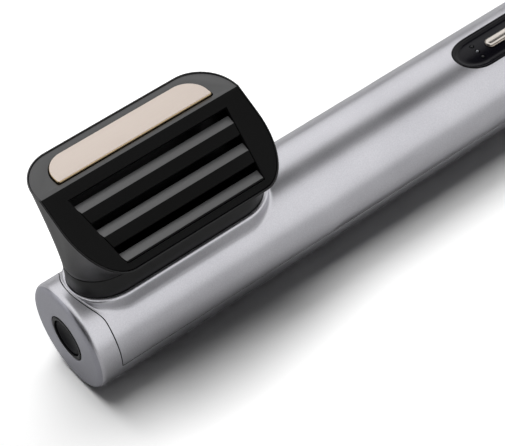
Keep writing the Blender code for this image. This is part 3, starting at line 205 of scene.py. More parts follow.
# Black plastic of the inner side and the inner parts; on the barrel shells also painted on the walls of seams
# and holes so these gaps stay dark, painted shade there.
INNER_AND_GAP_SHADE_BLACK = Finish("inner_black_and_gap_shade", "black_plastic", (0.006, 0.006, 0.006), (0.004, 0.004, 0.004), 0.6,
                     spread=0.06, grain_mm=0.4, relief_mm=0.005, gloss=0.1)
GLOSS_BLACK = Finish("gloss_black", "gloss_black", (0.0075, 0.007, 0.0095), (0.0055, 0.005, 0.007), 0.2,
                     spread=0.03, grain_mm=0.6, relief_mm=0.0006, gloss=0.07)
BUTTON_BLACK = Finish("button_black", "gloss_black", (0.009, 0.0085, 0.012), (0.0065, 0.006, 0.0085), 0.34,
                      spread=0.04, grain_mm=0.3, relief_mm=0.001, gloss=0.03)
TRAY_BLACK = Finish("tray_black", "black_plastic", (0.0065, 0.006, 0.0095), (0.0045, 0.0042, 0.0065), 0.24,
                    spread=0.04, grain_mm=0.3, relief_mm=0.002, gloss=0.18)
# Grey plastic: the keys' own colour, and on the air blades' ramps a paler colour for the light the ramps
# catch, painted light.
KEY_AND_LIT_RAMP_GREY = Finish("blade_grey", "blade_plastic", (0.080, 0.080, 0.081), (0.062, 0.062, 0.063), 0.4,
                    spread=0.05, grain_mm=0.22, relief_mm=0.006, gloss=1.0)
# Darker copy of the blade plastic for the lands and undersides of the air blades: painted shade.
SHADED_LAND_BLACK = Finish("painted_shade_land_black", "blade_plastic", (0.006, 0.006, 0.006), (0.0045, 0.0045, 0.0045), 0.5,
                     spread=0.05, grain_mm=0.22, relief_mm=0.004, gloss=0.1)
PLATE_COATING = Finish("plate_coating", "plate_champagne", (0.85, 0.74, 0.665), (0.81, 0.70, 0.625), 0.42,
                       0.15, 0.03, Grain.ALONG, 0.18, 0.0012, gloss=0.4)
PLATE_EDGE = Finish("plate_edge", "plate_champagne", (0.62, 0.47, 0.28), (0.55, 0.41, 0.23), 0.25, 0.9,
                    0.04, Grain.ALONG, 0.15, 0.001)
SLIDER_COATING = Finish("slider_coating", "slider_champagne", (0.80, 0.74, 0.68), (0.74, 0.68, 0.62), 0.22,
                        0.8, 0.04, Grain.ALONG, 0.12, 0.001, 0.3)
BRIGHT_STEEL = Finish("bright_steel", "steel", (0.62, 0.62, 0.62), (0.52, 0.52, 0.53), 0.28, 1.0, 0.06,
                      Grain.ALONG, 0.2, 0.001)
COIL_WIRE = Finish("coil_wire", "steel", (0.42, 0.38, 0.35), (0.30, 0.26, 0.25), 0.4, 1.0, 0.08,
                   grain_mm=0.4, relief_mm=0.002)
PIN_BRASS = Finish("pin_brass", "contact_brass", (0.72, 0.56, 0.25), (0.60, 0.45, 0.20), 0.25, 1.0, 0.05,
                   grain_mm=0.3, relief_mm=0.001)
SOFT_RUBBER = Finish("soft_rubber", "rubber", (0.030, 0.030, 0.031), (0.022, 0.022, 0.023), 0.62,
                     spread=0.08, grain_mm=0.3, relief_mm=0.008)
MICA = Finish("mica", "mica_board", (0.62, 0.56, 0.45), (0.50, 0.44, 0.34), 0.55, 0.1, 0.1, grain_mm=1.6,
              relief_mm=0.01)
BOARD_LACQUER = Finish("board_lacquer", "board_green", (0.03, 0.20, 0.10), (0.02, 0.15, 0.075), 0.35,
                       spread=0.05, grain_mm=1.1, relief_mm=0.002, coat=0.4)
CERAMIC = Finish("ceramic_white", "ceramic", (0.80, 0.79, 0.75), (0.72, 0.71, 0.67), 0.5, spread=0.06,
                 grain_mm=0.8, relief_mm=0.004)
LENS = Finish("frosted_lens", "lens", (0.30, 0.31, 0.34), (0.24, 0.25, 0.27), 0.3, spread=0.05,
              grain_mm=0.3, relief_mm=0.002, coat=0.6)
DARK_LENS = Finish("smoked_lens", "lens", (0.030, 0.030, 0.033), (0.022, 0.022, 0.024), 0.25, spread=0.05,
                   grain_mm=0.3, relief_mm=0.002, gloss=0.35)
ICON_PAINT = Finish("icon_paint", "lens", (0.55, 0.55, 0.56), (0.48, 0.48, 0.49), 0.5, spread=0.05,
                    grain_mm=0.2, relief_mm=0.001)


@cache
def material_of(finish: Finish) -> bpy.types.Material:
    """A finish's material, made once."""
    return finish.build()


def at(x: float, y: float, z: float) -> Vector:
    """World place of a point given in millimetres along the barrel from its nose, across and up."""
    return Vector((NOSE_X + x * MM, y * MM, AXIS_Z + z * MM))


def laid(outline: Iterable[Point2], z: float) -> list[Vector]:
    """Points of an outline, laid at a height above the barrel's axis."""
    return [at(x, y, z) for x, y in outline]


def select_only(obj: Obj) -> None:
    """Select one object and make it active."""
    bpy.ops.object.select_all(action="DESELECT")
    obj.select_set(True)
    bpy.context.view_layer.objects.active = obj


@contextmanager
def editing(obj: Obj) -> Iterator[None]:
    """Edit mode on one object, with all of it selected at the start."""
    select_only(obj)
    bpy.ops.object.mode_set(mode="EDIT")
    bpy.ops.mesh.select_mode(type="VERT")
    bpy.ops.mesh.select_all(action="SELECT")
    yield
    bpy.ops.object.mode_set(mode="OBJECT")


def named(name: str) -> Obj:
    """Name the object that an operator has just added, and put its place in its mesh."""
    obj = bpy.context.object
    obj.name = obj.data.name = name
    bpy.ops.object.transform_apply(location=True, rotation=True, scale=True)
    return obj


def tidy_mesh(obj: Obj, weld: float = WELD) -> None:
    """Merge the doubles of an object's mesh and turn its faces outwards."""
    with editing(obj):
        bpy.ops.mesh.remove_doubles(threshold=weld)
        bpy.ops.mesh.normals_make_consistent(inside=False)


def wrapped(name: str, rings: Sequence[Sequence[Vector]], ring_closed: bool = True,
            path_closed: bool = False, capped: bool = False) -> Obj:
    """Wrap a grid round rings of points, one row to a ring.

    Args:
        rings: rings with the same number of points, in order.
        ring_closed: whether each ring runs back to its start.
        path_closed: whether the last ring joins the first.
        capped: whether the first and last rings are filled.

    Returns:
        The object.
    """
    rows = [list(ring) + ([ring[0]] if ring_closed else []) for ring in rings]
    if path_closed:
        rows.append(rows[0])
    across, along = len(rows[0]) - 1, len(rows) - 1
    bpy.ops.mesh.primitive_grid_add(x_subdivisions=across, y_subdivisions=along, size=1.0)
    obj = named(name)
    obj.data.vertices.foreach_set("co", [value for row in rows for point in row for value in point])
    obj.data.update()
    tidy_mesh(obj)
    if capped:
        with editing(obj):
            bpy.ops.mesh.select_all(action="DESELECT")
            bpy.ops.mesh.select_non_manifold(extend=False, use_wire=False, use_multi_face=False,
                                             use_non_contiguous=False, use_verts=False)
            bpy.ops.mesh.edge_face_add()
        tidy_mesh(obj)
    return obj


def turned(name: str, profile: Sequence[Point2], steps: int = 96) -> Obj:
    """Draw a closed profile point by point and spin it round the barrel's axis.

    Args:
        profile: (along, radius) points in millimetres.
        steps: facets round the axis.

    Returns:
        The turned object.
    """
    points = [at(along, 0.0, radius) for along, radius in (*profile, profile[0])]
    bpy.ops.mesh.primitive_plane_add(size=2 * MM, location=points[0])
    obj = named(name)
    with editing(obj):
        bpy.ops.mesh.merge(type="CENTER")
        for before, after in zip(points, points[1:]):
            bpy.ops.mesh.extrude_vertices_move(TRANSFORM_OT_translate={"value": after - before})
        bpy.ops.mesh.select_all(action="SELECT")
        bpy.ops.mesh.spin(steps=steps, angle=math.tau, center=at(0.0, 0.0, 0.0), axis=(1.0, 0.0, 0.0))
    tidy_mesh(obj)
    return obj


def slab(name: str, outline: Sequence[Point2], low: float, high: float,
         place: Matrix | None = None) -> Obj:
    """Extrude a flat outline, with all its measures in millimetres.

    Args:
        outline: (x, y) points.
        low: height of the bottom.
        high: height of the top.
        place: where the slab's own axes lie in the world.

    Returns:
        The slab.
    """
    bpy.ops.mesh.primitive_circle_add(vertices=len(outline), radius=1.0, fill_type="NGON")
    obj = named(name)
    for vertex, (x, y) in zip(obj.data.vertices, outline):
        vertex.co = (x * MM, y * MM, low * MM)
    with editing(obj):
        bpy.ops.mesh.extrude_region_move(TRANSFORM_OT_translate={"value": (0.0, 0.0, (high - low) * MM)})
        bpy.ops.mesh.select_all(action="SELECT")
        bpy.ops.mesh.normals_make_consistent(inside=False)
    if place is not None:
        obj.data.transform(place)
    return obj


def block(name: str, low: Vector, high: Vector) -> Obj:
    """A box between two corners, added at its size and place."""
    bpy.ops.mesh.primitive_cube_add(size=1.0, location=(low + high) / 2, scale=high - low)
    return named(name)


def post(name: str, radius: float, low: Vector, high: Vector, steps: int = 32) -> Obj:
    """A cylinder between two points, with its radius in millimetres."""
    way = high - low
    bpy.ops.mesh.primitive_cylinder_add(vertices=steps, radius=radius * MM, depth=way.length,
                                        location=(low + high) / 2,
                                        rotation=way.to_track_quat("Z", "Y").to_euler())
    return named(name)


def applied(obj: Obj, kind: str, **settings: object) -> None:
    """Give an object a modifier and apply it at once."""
    select_only(obj)
    modifier = obj.modifiers.new("shape", kind)
    for name, value in settings.items():
        setattr(modifier, name, value)
    bpy.ops.object.modifier_apply(modifier=modifier.name)


def combine(obj: Obj, tool: Obj, cut: Cut) -> None:
    """Shape an object with a tool, and remove the tool."""
    applied(obj, "BOOLEAN", operation=cut.value, object=tool, solver="EXACT")
    bpy.data.objects.remove(tool)


def rounded(obj: Obj, width_mm: float, segments: int, angle: float) -> None:
    """Round an object's edges that are sharper than an angle, in degrees."""
    applied(obj, "BEVEL", width=width_mm * MM, segments=segments, limit_method="ANGLE",
            angle_limit=math.radians(angle))


def thickened(obj: Obj, thickness_mm: float) -> None:
    """Give an open skin a wall on its inner side."""
    applied(obj, "SOLIDIFY", thickness=thickness_mm * MM, offset=-1.0)


def joined(name: str, objects: Iterable[Obj]) -> Obj:
    """Join objects into one."""
    found = list(objects)
    bpy.ops.object.select_all(action="DESELECT")
    for obj in found:
        obj.select_set(True)
    bpy.context.view_layer.objects.active = found[0]
    bpy.ops.object.join()
    found[0].name = found[0].data.name = name
    return found[0]


def copied(obj: Obj, name: str, move: Matrix) -> Obj:
    """Copy a piece, with a mesh of its own, to another place."""
    twin = bpy.data.objects.new(name, obj.data.copy())
    bpy.context.scene.collection.objects.link(twin)
    twin.data.transform(move)
    return twin


def painted_where(obj: Obj, finish: Finish, test: Callable[[Vector, Vector], bool]) -> None:
    """Give some faces a finish of their own.

    Args:
        obj: the piece.
        finish: the other finish.
        test: takes a face's centre and normal and says whether it has that finish.
    """
    if not obj.data.materials:
        obj.data.materials.append(None)
    obj.data.materials.append(material_of(finish))
    index = len(obj.data.materials) - 1
    for face in obj.data.polygons:
        if test(face.center, face.normal):
            face.material_index = index


def dressed(obj: Obj, finish: Finish, body: Body, *nodes: str, angle: float = 35.0) -> None:
    """Give a piece its finish and shading, and tie it to the frame.

    Args:
        obj: the piece.
        finish: its main finish.
        body: the CAD body that it rides on.
        nodes: the CAD nodes that it stands for.
        angle: edges sharper than this stay sharp, in degrees.
    """
    others = [slot for slot in obj.data.materials if slot is not None]
    indices = [face.material_index for face in obj.data.polygons]
    obj.data.materials.clear()
    for material in [material_of(finish)] + others:
        obj.data.materials.append(material)
    for face, index in zip(obj.data.polygons, indices):
        face.material_index = index if others else 0
    select_only(obj)
    bpy.ops.object.shade_smooth_by_angle(angle=math.radians(angle))
    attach(obj, body.value)
    if nodes:
        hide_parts(*nodes)
    LOG.info("%s rides on %s, %d faces", obj.name, body.value, len(obj.data.polygons))


def ellipse(centre: Point2, axis_x: float, axis_y: float, start: float, end: float,
            steps: int) -> list[Point2]:
    """Points along an ellipse's arc, both ends among them, with angles in degrees."""
    turns = [math.radians(start + (end - start) * index / steps) for index in range(steps + 1)]
    return [(centre[0] + axis_x * math.cos(turn), centre[1] + axis_y * math.sin(turn)) for turn in turns]


def capsule(centre: float, half_length: float, half_width: float, end_axis: float, steps: int,
            straight_steps: int = 1) -> list[Point2]:
    """Outline of a bar with half-ellipse ends, from the right end's lower point anticlockwise."""
    straight = half_length - end_axis
    right = ellipse((centre + straight, 0.0), end_axis, half_width, -90.0, 90.0, steps)
    left = ellipse((centre - straight, 0.0), end_axis, half_width, 90.0, 270.0, steps)
    span = 2 * straight

    def between(start: float, y: float, way: float) -> list[Point2]:
        return [(start + way * span * index / straight_steps, y) for index in range(1, straight_steps)]

    return (right + between(centre + straight, half_width, -1.0) + left
            + between(centre - straight, -half_width, 1.0))


@dataclass
class Barrel:
    """The two shells of the barrel, with the flat-topped boss that the collar stands in."""

    radius: float = 20.0
    wall: float = 2.0
    end: float = 258.7
    nose_edge: float = 2.6
    hole: float = 8.6
    collar_x: float = 44.2
    collar_half: float = 38.6
    collar_width: float = 12.7
    collar_end: float = 14.5
    boss_top: float = 20.4
    boss_border: float = 1.45
    boss_edge: float = 1.1
    boss_foot: float = 1.5
    seam_x: float = 9.0
    seam_tip: float = 4.8
    seam_radius: float = 21.3
    seam_drop: float = 3.3
    seam_gap: float = 0.28
    seam_clear: float = 0.35
    keel_gap: float = 0.12
    keel_taper: float = 60.0
    seam_round: float = 0.12
    end_drop: float = 0.1
    side_drop: float = 0.02
    panel_x: float = 203.25
    panel_half: float = 32.05
    panel_width: float = 7.8
    panel_end: float = 11.3
    panel_turn: float = 8.0
    split_x: float = 98.0
    nose_zone: float = 3.0
    across: int = 84
    head_steps: int = 60
    panel_steps: int = 70

    def point(self, x: float, s: float, radius: float) -> Vector:
        """World place x along the barrel and s round its surface from the top, at a radius."""
        return at(x, radius * math.sin(s / self.radius), radius * math.cos(s / self.radius))

    def unrolled(self, y: float) -> float:
        """Arc length from the barrel's top to the place at y across it."""
        return self.radius * math.asin(y / self.radius)

    def seam_reach(self, gap: float = 0.0) -> float:
        """Arc length from the top to the parting line between the shells."""
        return self.radius * (math.pi / 2 + math.asin((self.seam_drop + gap) / self.radius))

    def __post_init__(self) -> None:
        """Draw the collar hole's outline, seen from above, and the same outline grown by 1 mm."""
        self.outlines = [capsule(self.collar_x, self.collar_half + away, self.collar_width + away,
                                 self.collar_end + away, self.across, self.head_steps)
                         for away in (0.0, 1.0)]

    def grown(self, index: int, away: float) -> Point2:
        """A point of the collar hole's outline, grown by a distance."""
        (x0, y0), (x1, y1) = self.outlines[0][index], self.outlines[1][index]
        return x0 + (x1 - x0) * away, y0 + (y1 - y0) * away

    def room(self, index: int) -> float:
        """Distance that the boss can spread at a point of the hole before it meets the seam."""
        away = 0.2
        while away < self.boss_border + self.boss_foot:
            x, y = self.grown(index, away + 0.1)
            if x < self.seam_at(self.unrolled(y)) + self.seam_clear:
                break
            away += 0.1
        return away

    def boss_rings(self) -> list[list[Vector]]:
        """Rings over the boss: from the hole over its flat top and down its side to the barrel.

        Returns:
            The rings, the last of them on the barrel.
        """
        top, edge, count = self.boss_top, self.boss_edge, len(self.outlines[0])
        rooms = [self.room(index) for index in range(count)]
        nearby = [sum(rooms[(index + step) % count] for step in range(-4, 5)) / 9 for index in range(count)]
        plan = [("top", share) for share in (0.0, 0.3, 0.6, 0.85)]
        plan += [("edge", turn) for turn in range(0, 91, 15)]
        plan += [("wall", share) for share in (0.25, 0.5, 0.75)]
        plan += [("foot", share / 8) for share in range(9)]
        spreads = [min(pair) for pair in zip(rooms, nearby)]
        rings = []
        for kind, share in plan:
            ring = []
            for index, spread in enumerate(spreads):
                border = min(self.boss_border, spread * 0.75)
                foot = min(self.boss_foot, spread - border)
                outside = [self.grown(index, border), self.grown(index, border + foot)]
                low, far = (math.sqrt(self.radius ** 2 - y * y) for _, y in outside)
                height = top - low
                small = min(edge, height * 0.4, border * 0.85)
                rise = min(foot, (height - small) * 0.75)
                away, z = border, low
                if kind == "top":
                    away, z = (border - small) * share, top
                elif kind == "edge":
                    turn = math.radians(share)
                    away, z = border - small + small * math.sin(turn), top - small + small * math.cos(turn)
                elif kind == "wall":
                    z = top - small + (low + rise - top + small) * share
                else:
                    away = border + foot * share ** 2
                    z = low + rise * (1 - share) ** 2 + (far - low) * share ** 2
                x, y = self.grown(index, away)
                ring.append(at(x, y, z))
            rings.append(ring)
        return rings

    def skin(self, x: float) -> float:
        """Radius of the barrel's surface, its rounded nose included."""
        short = max(self.nose_edge - x, 0.0)
        return self.radius - self.nose_edge + math.sqrt(self.nose_edge ** 2 - short ** 2)

    def seam_at(self, s: float) -> float:
        """Place along the barrel of the seam between nose and upper shell, at an arc length."""
        y = min(abs(self.radius * math.sin(min(abs(s) / self.radius, math.pi / 2))), self.seam_radius)
        arc = self.seam_tip + self.seam_radius - math.sqrt(self.seam_radius ** 2 - y ** 2)
        ease = 1.6
        near = max(ease - abs(arc - self.seam_x), 0.0) / ease
        return min(arc, self.seam_x) - near * near * ease / 4

    def patch(self, name: str, first: list[list[Vector]], hole: list[Point2], start: list[Point2],
              border: list[Point2], drops: list[float]) -> Obj:
        """A piece of the upper shell between a hole and its outer border, with its inner side.

        Args:
            first: rings that come before the plain skin, from the hole outwards.
            hole: the hole's outline on the unrolled inner side.
            start: where the plain outer skin starts, on the unrolled barrel.
            border: the border's points, one to each of the hole's.
            drops: how far each border point is rounded down.

        Returns:
            The piece, open where its border is not rounded.
        """
        spacing = [value / 24.0 for value in (0.0, 0.5, 1.5, 3.5, 6.5, 10.0, 14.0, 18.0, 21.5, 24.0)]
        outer: list[list[Vector]] = [[] for _ in range(len(spacing) + 1)]
        for (x0, s0), (x1, s1), drop in zip(start, border, drops):
            reach = 1.0 - self.seam_round / max(math.hypot(x1 - x0, s1 - s0), 2 * self.seam_round)
            for ring, share in zip(outer, [value * reach for value in spacing] + [1.0]):
                x, s = x0 + (x1 - x0) * share, s0 + (s1 - s0) * share
                ring.append(self.point(x, s, self.skin(x) - (drop if share == 1.0 else 0.0)))
        inner: list[list[Vector]] = [[] for _ in range(7)]
        for (x0, s0), (x1, s1) in zip(hole, border):
            for index, ring in enumerate(inner):
                share = 1.0 - index / 6
                x, s = x0 + (x1 - x0) * share, s0 + (s1 - s0) * share
                ring.append(self.point(x, s, self.radius - self.wall))
        piece = wrapped(name, first + outer + inner, path_closed=True)
        with editing(piece):
            bpy.ops.mesh.select_mode(type="FACE")
            bpy.ops.mesh.select_all(action="DESELECT")
            mesh = bmesh.from_edit_mesh(piece.data)
            for face in mesh.faces:
                if all(abs(vertex.co.x - NOSE_X - self.split_x * MM) < 0.00001 for vertex in face.verts):
                    face.select_set(True)
            bmesh.update_edit_mesh(piece.data)
            bpy.ops.mesh.delete(type="ONLY_FACE")
        return piece

    def border(self, front: list[Point2], rear_x: float, long_steps: int) -> list[Point2]:
        """Border round a hole, in the order of a capsule's points.

        Args:
            front: the front side, from the -Y seam to the +Y seam.
            rear_x: place of the straight rear side.
            long_steps: steps along each seam.

        Returns:
            The border's points.
        """
        reach, steps = self.seam_reach(), self.across
        rear = [(rear_x, -reach + 2 * reach * index / steps) for index in range(steps + 1)]
        front_x = front[0][0]
        run = [front_x + (rear_x - front_x) * index / long_steps for index in range(1, long_steps)]
        return rear + [(x, reach) for x in reversed(run)] + front[::-1] + [(x, -reach) for x in run]

    def build_upper(self) -> None:
        """The upper shell, open for the collar and the control panel."""
        reach, steps, along = self.seam_reach(), self.across, self.head_steps
        bore = self.radius - self.wall
        boss = self.boss_rings()
        start = [((point.x - NOSE_X) / MM, self.unrolled(point.y / MM)) for point in boss[-1]]
        tip = start[steps + along:2 * steps + along + 1]
        front = []
        for index, (_, s) in enumerate(reversed(tip)):
            share = 2 * index / steps - 1
            s += (reach - abs(tip[0][1])) * share ** 3
            front.append((self.seam_at(s), s))
        border = self.border(front, self.split_x, along)
        long_side = set(range(steps + 1, steps + along))
        long_side |= set(range(2 * steps + along + 1, 2 * (steps + along)))
        drops = [0.0 if 0 < index < steps else self.side_drop if index in long_side else self.end_drop
                 for index in range(len(border))]
        hole = [(x, self.radius * math.asin(y / bore)) for x, y in self.outlines[0]]
        head_part = self.patch("barrel_head_part", boss[:-1], hole, start, border, drops)
        panel, along = self.panel_hole(), self.panel_steps
        front = [(self.split_x, -reach + 2 * reach * index / steps) for index in range(steps + 1)]
        border = self.border(front, self.end, along)
        drops = [self.end_drop if index <= steps
                 else 0.0 if steps + along < index < 2 * steps + along else self.side_drop
                 for index in range(len(border))]
        panel_part = self.patch("barrel_panel_part", [], panel, panel, border, drops)
        shell = joined("barrel_upper", [head_part, panel_part])
        tidy_mesh(shell, SHELL_WELD)
        # Walls of the seams and holes are painted black so these gaps read dark: painted shade; the inner
        # side is the plastic's own black.
        painted_where(shell, INNER_AND_GAP_SHADE_BLACK, self.in_gap)
        dressed(shell, SATIN_SILVER, Body.HANDLE, "upper_shell")

    def panel_hole(self) -> list[Point2]:
        """Outline of the control panel's hole on the unrolled barrel, turned a little round it."""
        aside = self.radius * math.radians(self.panel_turn)
        outline = capsule(self.panel_x, self.panel_half, self.unrolled(self.panel_width), self.panel_end,
                          self.across, self.panel_steps)
        return [(x, s - aside) for x, s in outline]

    def in_gap(self, centre: Vector, normal: Vector) -> bool:
        """Whether a face is a wall of a seam or of a hole, or on the inner side."""
        out = Vector((0.0, centre.y, centre.z - AXIS_Z))
        wall_of_gap = out.length < (self.radius - 0.13) * MM and abs(out.normalized().dot(normal)) < 0.5
        inside = out.length < (self.radius - self.wall / 2) * MM
        return centre.x > NOSE_X + self.nose_zone * MM and (wall_of_gap or inside)

    def build_lower(self) -> None:
        """The lower shell in one with the round nose."""
        reach = self.seam_reach(self.keel_gap)
        circle = math.tau * self.radius
        top = [-reach + 2 * reach * index / 120 for index in range(121)]
        bottom = [reach + (circle - 2 * reach) * index / 64 for index in range(65)]
        bottom[1:1] = [reach + self.seam_round]
        bottom[-1:-1] = [circle - reach - self.seam_round]
        around = top + bottom[1:-1]
        face = [(0.26, self.hole), (0.08, self.hole + 0.05), (0.0, self.hole + 0.22), (0.0, 10.5),
                (0.0, 13.5), (0.0, 16.0)]
        edge = [(self.nose_edge * (1 - math.cos(turn)), self.radius - self.nose_edge * (1 - math.sin(turn)))
                for turn in (math.radians(index * 7.5) for index in range(13))]
        rings = [[self.point(x, s, radius) for s in around] for x, radius in face + edge]
        for step in range(1, 7):
            ring, last = [], step == 6
            for index, s in enumerate(around):
                upper = index < len(top)
                length = (self.seam_at(s) if upper else self.seam_x) - self.seam_gap - self.nose_edge
                part = 1.0 if last else step / 5 * (1.0 - self.seam_round / length)
                drop = self.end_drop if upper and last else 0.0
                ring.append(self.point(self.nose_edge + length * part, s, self.radius - drop))
            rings.append(ring)
        nose = wrapped("barrel_nose_part", rings)
        start = self.seam_x - self.seam_gap
        rows = [start + (self.end - start) * index / 24 for index in range(25)]
        rows[1:1] = [start + 0.5]
        rows[-1:-1] = [self.end - self.seam_round]
        strip = []
        for x in rows:
            row = []
            near = max(0.0, 1.0 - (x - start) / self.keel_taper) * (x > start)
            wider = (self.seam_gap - self.keel_gap) * near
            for index, s in enumerate(bottom):
                s += wider if index < 2 else -wider if index > len(bottom) - 3 else 0.0
                at_side = index in (0, len(bottom) - 1)
                drop = self.end_drop if x == self.end else self.side_drop if at_side else 0.0
                row.append(self.point(x, s, self.radius - drop))
            strip.append(row)
        shell = joined("barrel_lower", [nose, wrapped("barrel_keel_part", strip, ring_closed=False)])
        tidy_mesh(shell, SHELL_WELD)
        thickened(shell, self.wall)
        # Walls of the seams are painted black so these gaps read dark: painted shade; the inner side is the
        # plastic's own black.
        painted_where(shell, INNER_AND_GAP_SHADE_BLACK, self.in_gap)
        nose_end = NOSE_X + self.nose_zone * MM
        # The flat nose face takes the darker silver copy: painted shade.
        painted_where(shell, SHADED_NOSE_SILVER, lambda centre, normal: normal.x < -0.6 and centre.x < nose_end)
        dressed(shell, SATIN_SILVER, Body.HANDLE, "lower_shell")

    def build(self) -> None:
        """Both shells."""
        self.build_upper()
        self.build_lower()


@dataclass
class NoseRelease:
    """The ring and the dished release button in the nose."""

    ring_outer: float = 8.3
    ring_inner: float = 6.9
    button: float = 6.6
    recess: float = 0.45
    dish: float = 0.75
    stem: float = 3.0
    stem_end: float = 7.5

    def build(self) -> None:
        """The ring, then the button."""
        inner, outer = self.ring_inner, self.ring_outer
        ring = turned("release_ring", [
            (3.5, inner), (0.35, inner), (0.12, inner + 0.05), (0.0, inner + 0.2), (-0.05, inner + 0.45),
            (-0.06, (inner + outer) / 2), (-0.05, outer - 0.45), (0.0, outer - 0.2), (0.12, outer - 0.05),
            (0.35, outer), (2.7, outer), (2.7, outer + 1.2), (3.5, outer + 1.2)])
        dressed(ring, GLOSS_BLACK, Body.HANDLE, "nose_bezel", angle=50.0)
        profile = [(self.recess + self.dish, 0.0)]
        for share in (0.15, 0.3, 0.45, 0.6, 0.72, 0.82):
            profile.append((self.recess + self.dish * (1 - (share / 0.86) ** 2.2), self.button * share))
        profile += [(self.recess + 0.02, self.button * 0.88), (self.recess, self.button * 0.92),
                    (self.recess + 0.04, self.button - 0.18), (self.recess + 0.2, self.button),
                    (2.4, self.button), (2.4, self.stem), (self.stem_end, self.stem), (self.stem_end, 0.0)]
        button = turned("release_button", profile)
        dressed(button, BUTTON_BLACK, Body.RELEASE, "nose_button", angle=40.0)


@dataclass
class HeadForm:
    """The head's measures, and the outlines that its pieces are made from."""

    x: float = 44.2
    neck_half: float = 38.3
    neck_width: float = 12.4
    neck_end: float = 14.2
    neck_z: float = 28.4
    side_mid: float = 0.6
    rim_straight: float = 26.0
    rim_corner: float = 13.5
    front_mid: float = 3.5
    front_corner: float = 21.0
    rear_mid: float = 8.4
    rear_corner: float = 16.1
    flare: float = 1.35
    ridge_y: float = 6.4
    ridge_z: float = 57.3
    front_slope: float = 28.0
    rear_slope: float = 2.4
    rim_proud: float = 0.4
    corner_steps: int = 16

    def roof(self, y: float) -> float:
        """Height of the roof at a place across it."""
        slope = self.front_slope if y < self.ridge_y else self.rear_slope
        return self.ridge_z - abs(y - self.ridge_y) * math.tan(math.radians(slope))

    def outline(self, share: float, inset: float) -> list[Point2]:
        """The head's outline at a share of its flare, drawn in by an inset.

        Args:
            share: 0 at the neck's oval and 1 at the rim.
            inset: distance inwards.

        Returns:
            The outline about the head's own axis.
        """
        def mix(neck: float, rim: float) -> float:
            return neck + (rim - neck) * share

        straight = mix(self.neck_half - self.neck_end, self.rim_straight)
        end_axis = mix(self.neck_end, self.rim_corner) - inset
        front, rear = mix(self.side_mid, self.front_mid), mix(self.side_mid, self.rear_mid)
        front_axis = mix(self.neck_width - self.side_mid, self.front_corner) - inset
        rear_axis = mix(self.neck_width - self.side_mid, self.rear_corner) - inset
        ridge, steps = mix(0.0, self.ridge_y), self.corner_steps
        flat = [-straight + 2 * straight * index / 12 for index in range(1, 12)]
        points = ellipse((straight, -front), end_axis, front_axis, -90.0, 0.0, steps)
        points += [(straight + end_axis, ridge)]
        points += ellipse((straight, rear), end_axis, rear_axis, 0.0, 90.0, steps)
        points += [(x, rear + rear_axis) for x in reversed(flat)]
        points += ellipse((-straight, rear), end_axis, rear_axis, 90.0, 180.0, steps)
        points += [(-straight - end_axis, ridge)]
        points += ellipse((-straight, -front), end_axis, front_axis, 180.0, 270.0, steps)
        points += [(x, -front - front_axis) for x in flat]
        return points

    def ring(self, rise: float, inset: float, extra: float = 0.0) -> list[Vector]:
        """A ring of the flare at a share of its height, in world places."""
        rim = self.outline(1.0, inset)
        ring = []
        for (x, y), (_, rim_y) in zip(self.outline(rise ** self.flare, inset), rim):
            top = self.roof(rim_y) + self.rim_proud
            height = self.neck_z + (top - self.neck_z) * rise + extra
            ring.append(at(self.x + x, y, height))
        return ring

    def level(self, height: float, inset: float) -> list[Vector]:
        """A ring of the neck's oval at one height."""
        return laid(((self.x + x, y) for x, y in self.outline(0.0, inset)), height)

    def plane(self, front: bool) -> Matrix:
        """Axes of one slope of the roof: origin on the ridge, +Y up or down the slope, +Z out."""
        turn = math.radians(self.front_slope if front else -self.rear_slope)
        return Matrix.Translation(at(self.x, self.ridge_y, self.ridge_z)) @ Matrix.Rotation(turn, 4, "X")


@dataclass
class Collar:
    """The black oval collar between the barrel and the head, with its ledge and gasket."""

    form: HeadForm
    low: float = 15.5
    top: float = 28.1
    wall: float = 1.8
    ledge: float = 18.9

    def build(self) -> None:
        """The collar; the gasket's node keeps its shape."""
        form, wall, top = self.form, self.wall, self.top
        profile = [(self.low, 0.0), (19.5, 0.0), (22.0, 0.0), (25.0, 0.0), (top - 0.3, 0.0),
                   (top - 0.1, 0.04), (top - 0.02, 0.12), (top, 0.28), (top, wall - 0.28),
                   (top - 0.04, wall - 0.12), (top - 0.14, wall - 0.03), (top - 0.35, wall),
                   (self.ledge, wall), (self.ledge, wall + 1.8), (self.ledge - 1.4, wall + 1.8),
                   (self.ledge - 1.4, wall), (self.low, wall)]
        collar = wrapped("head_collar", [form.level(z, inset) for z, inset in profile], path_closed=True)
        dressed(collar, SATIN_BLACK, Body.HANDLE, "collar", angle=50.0)


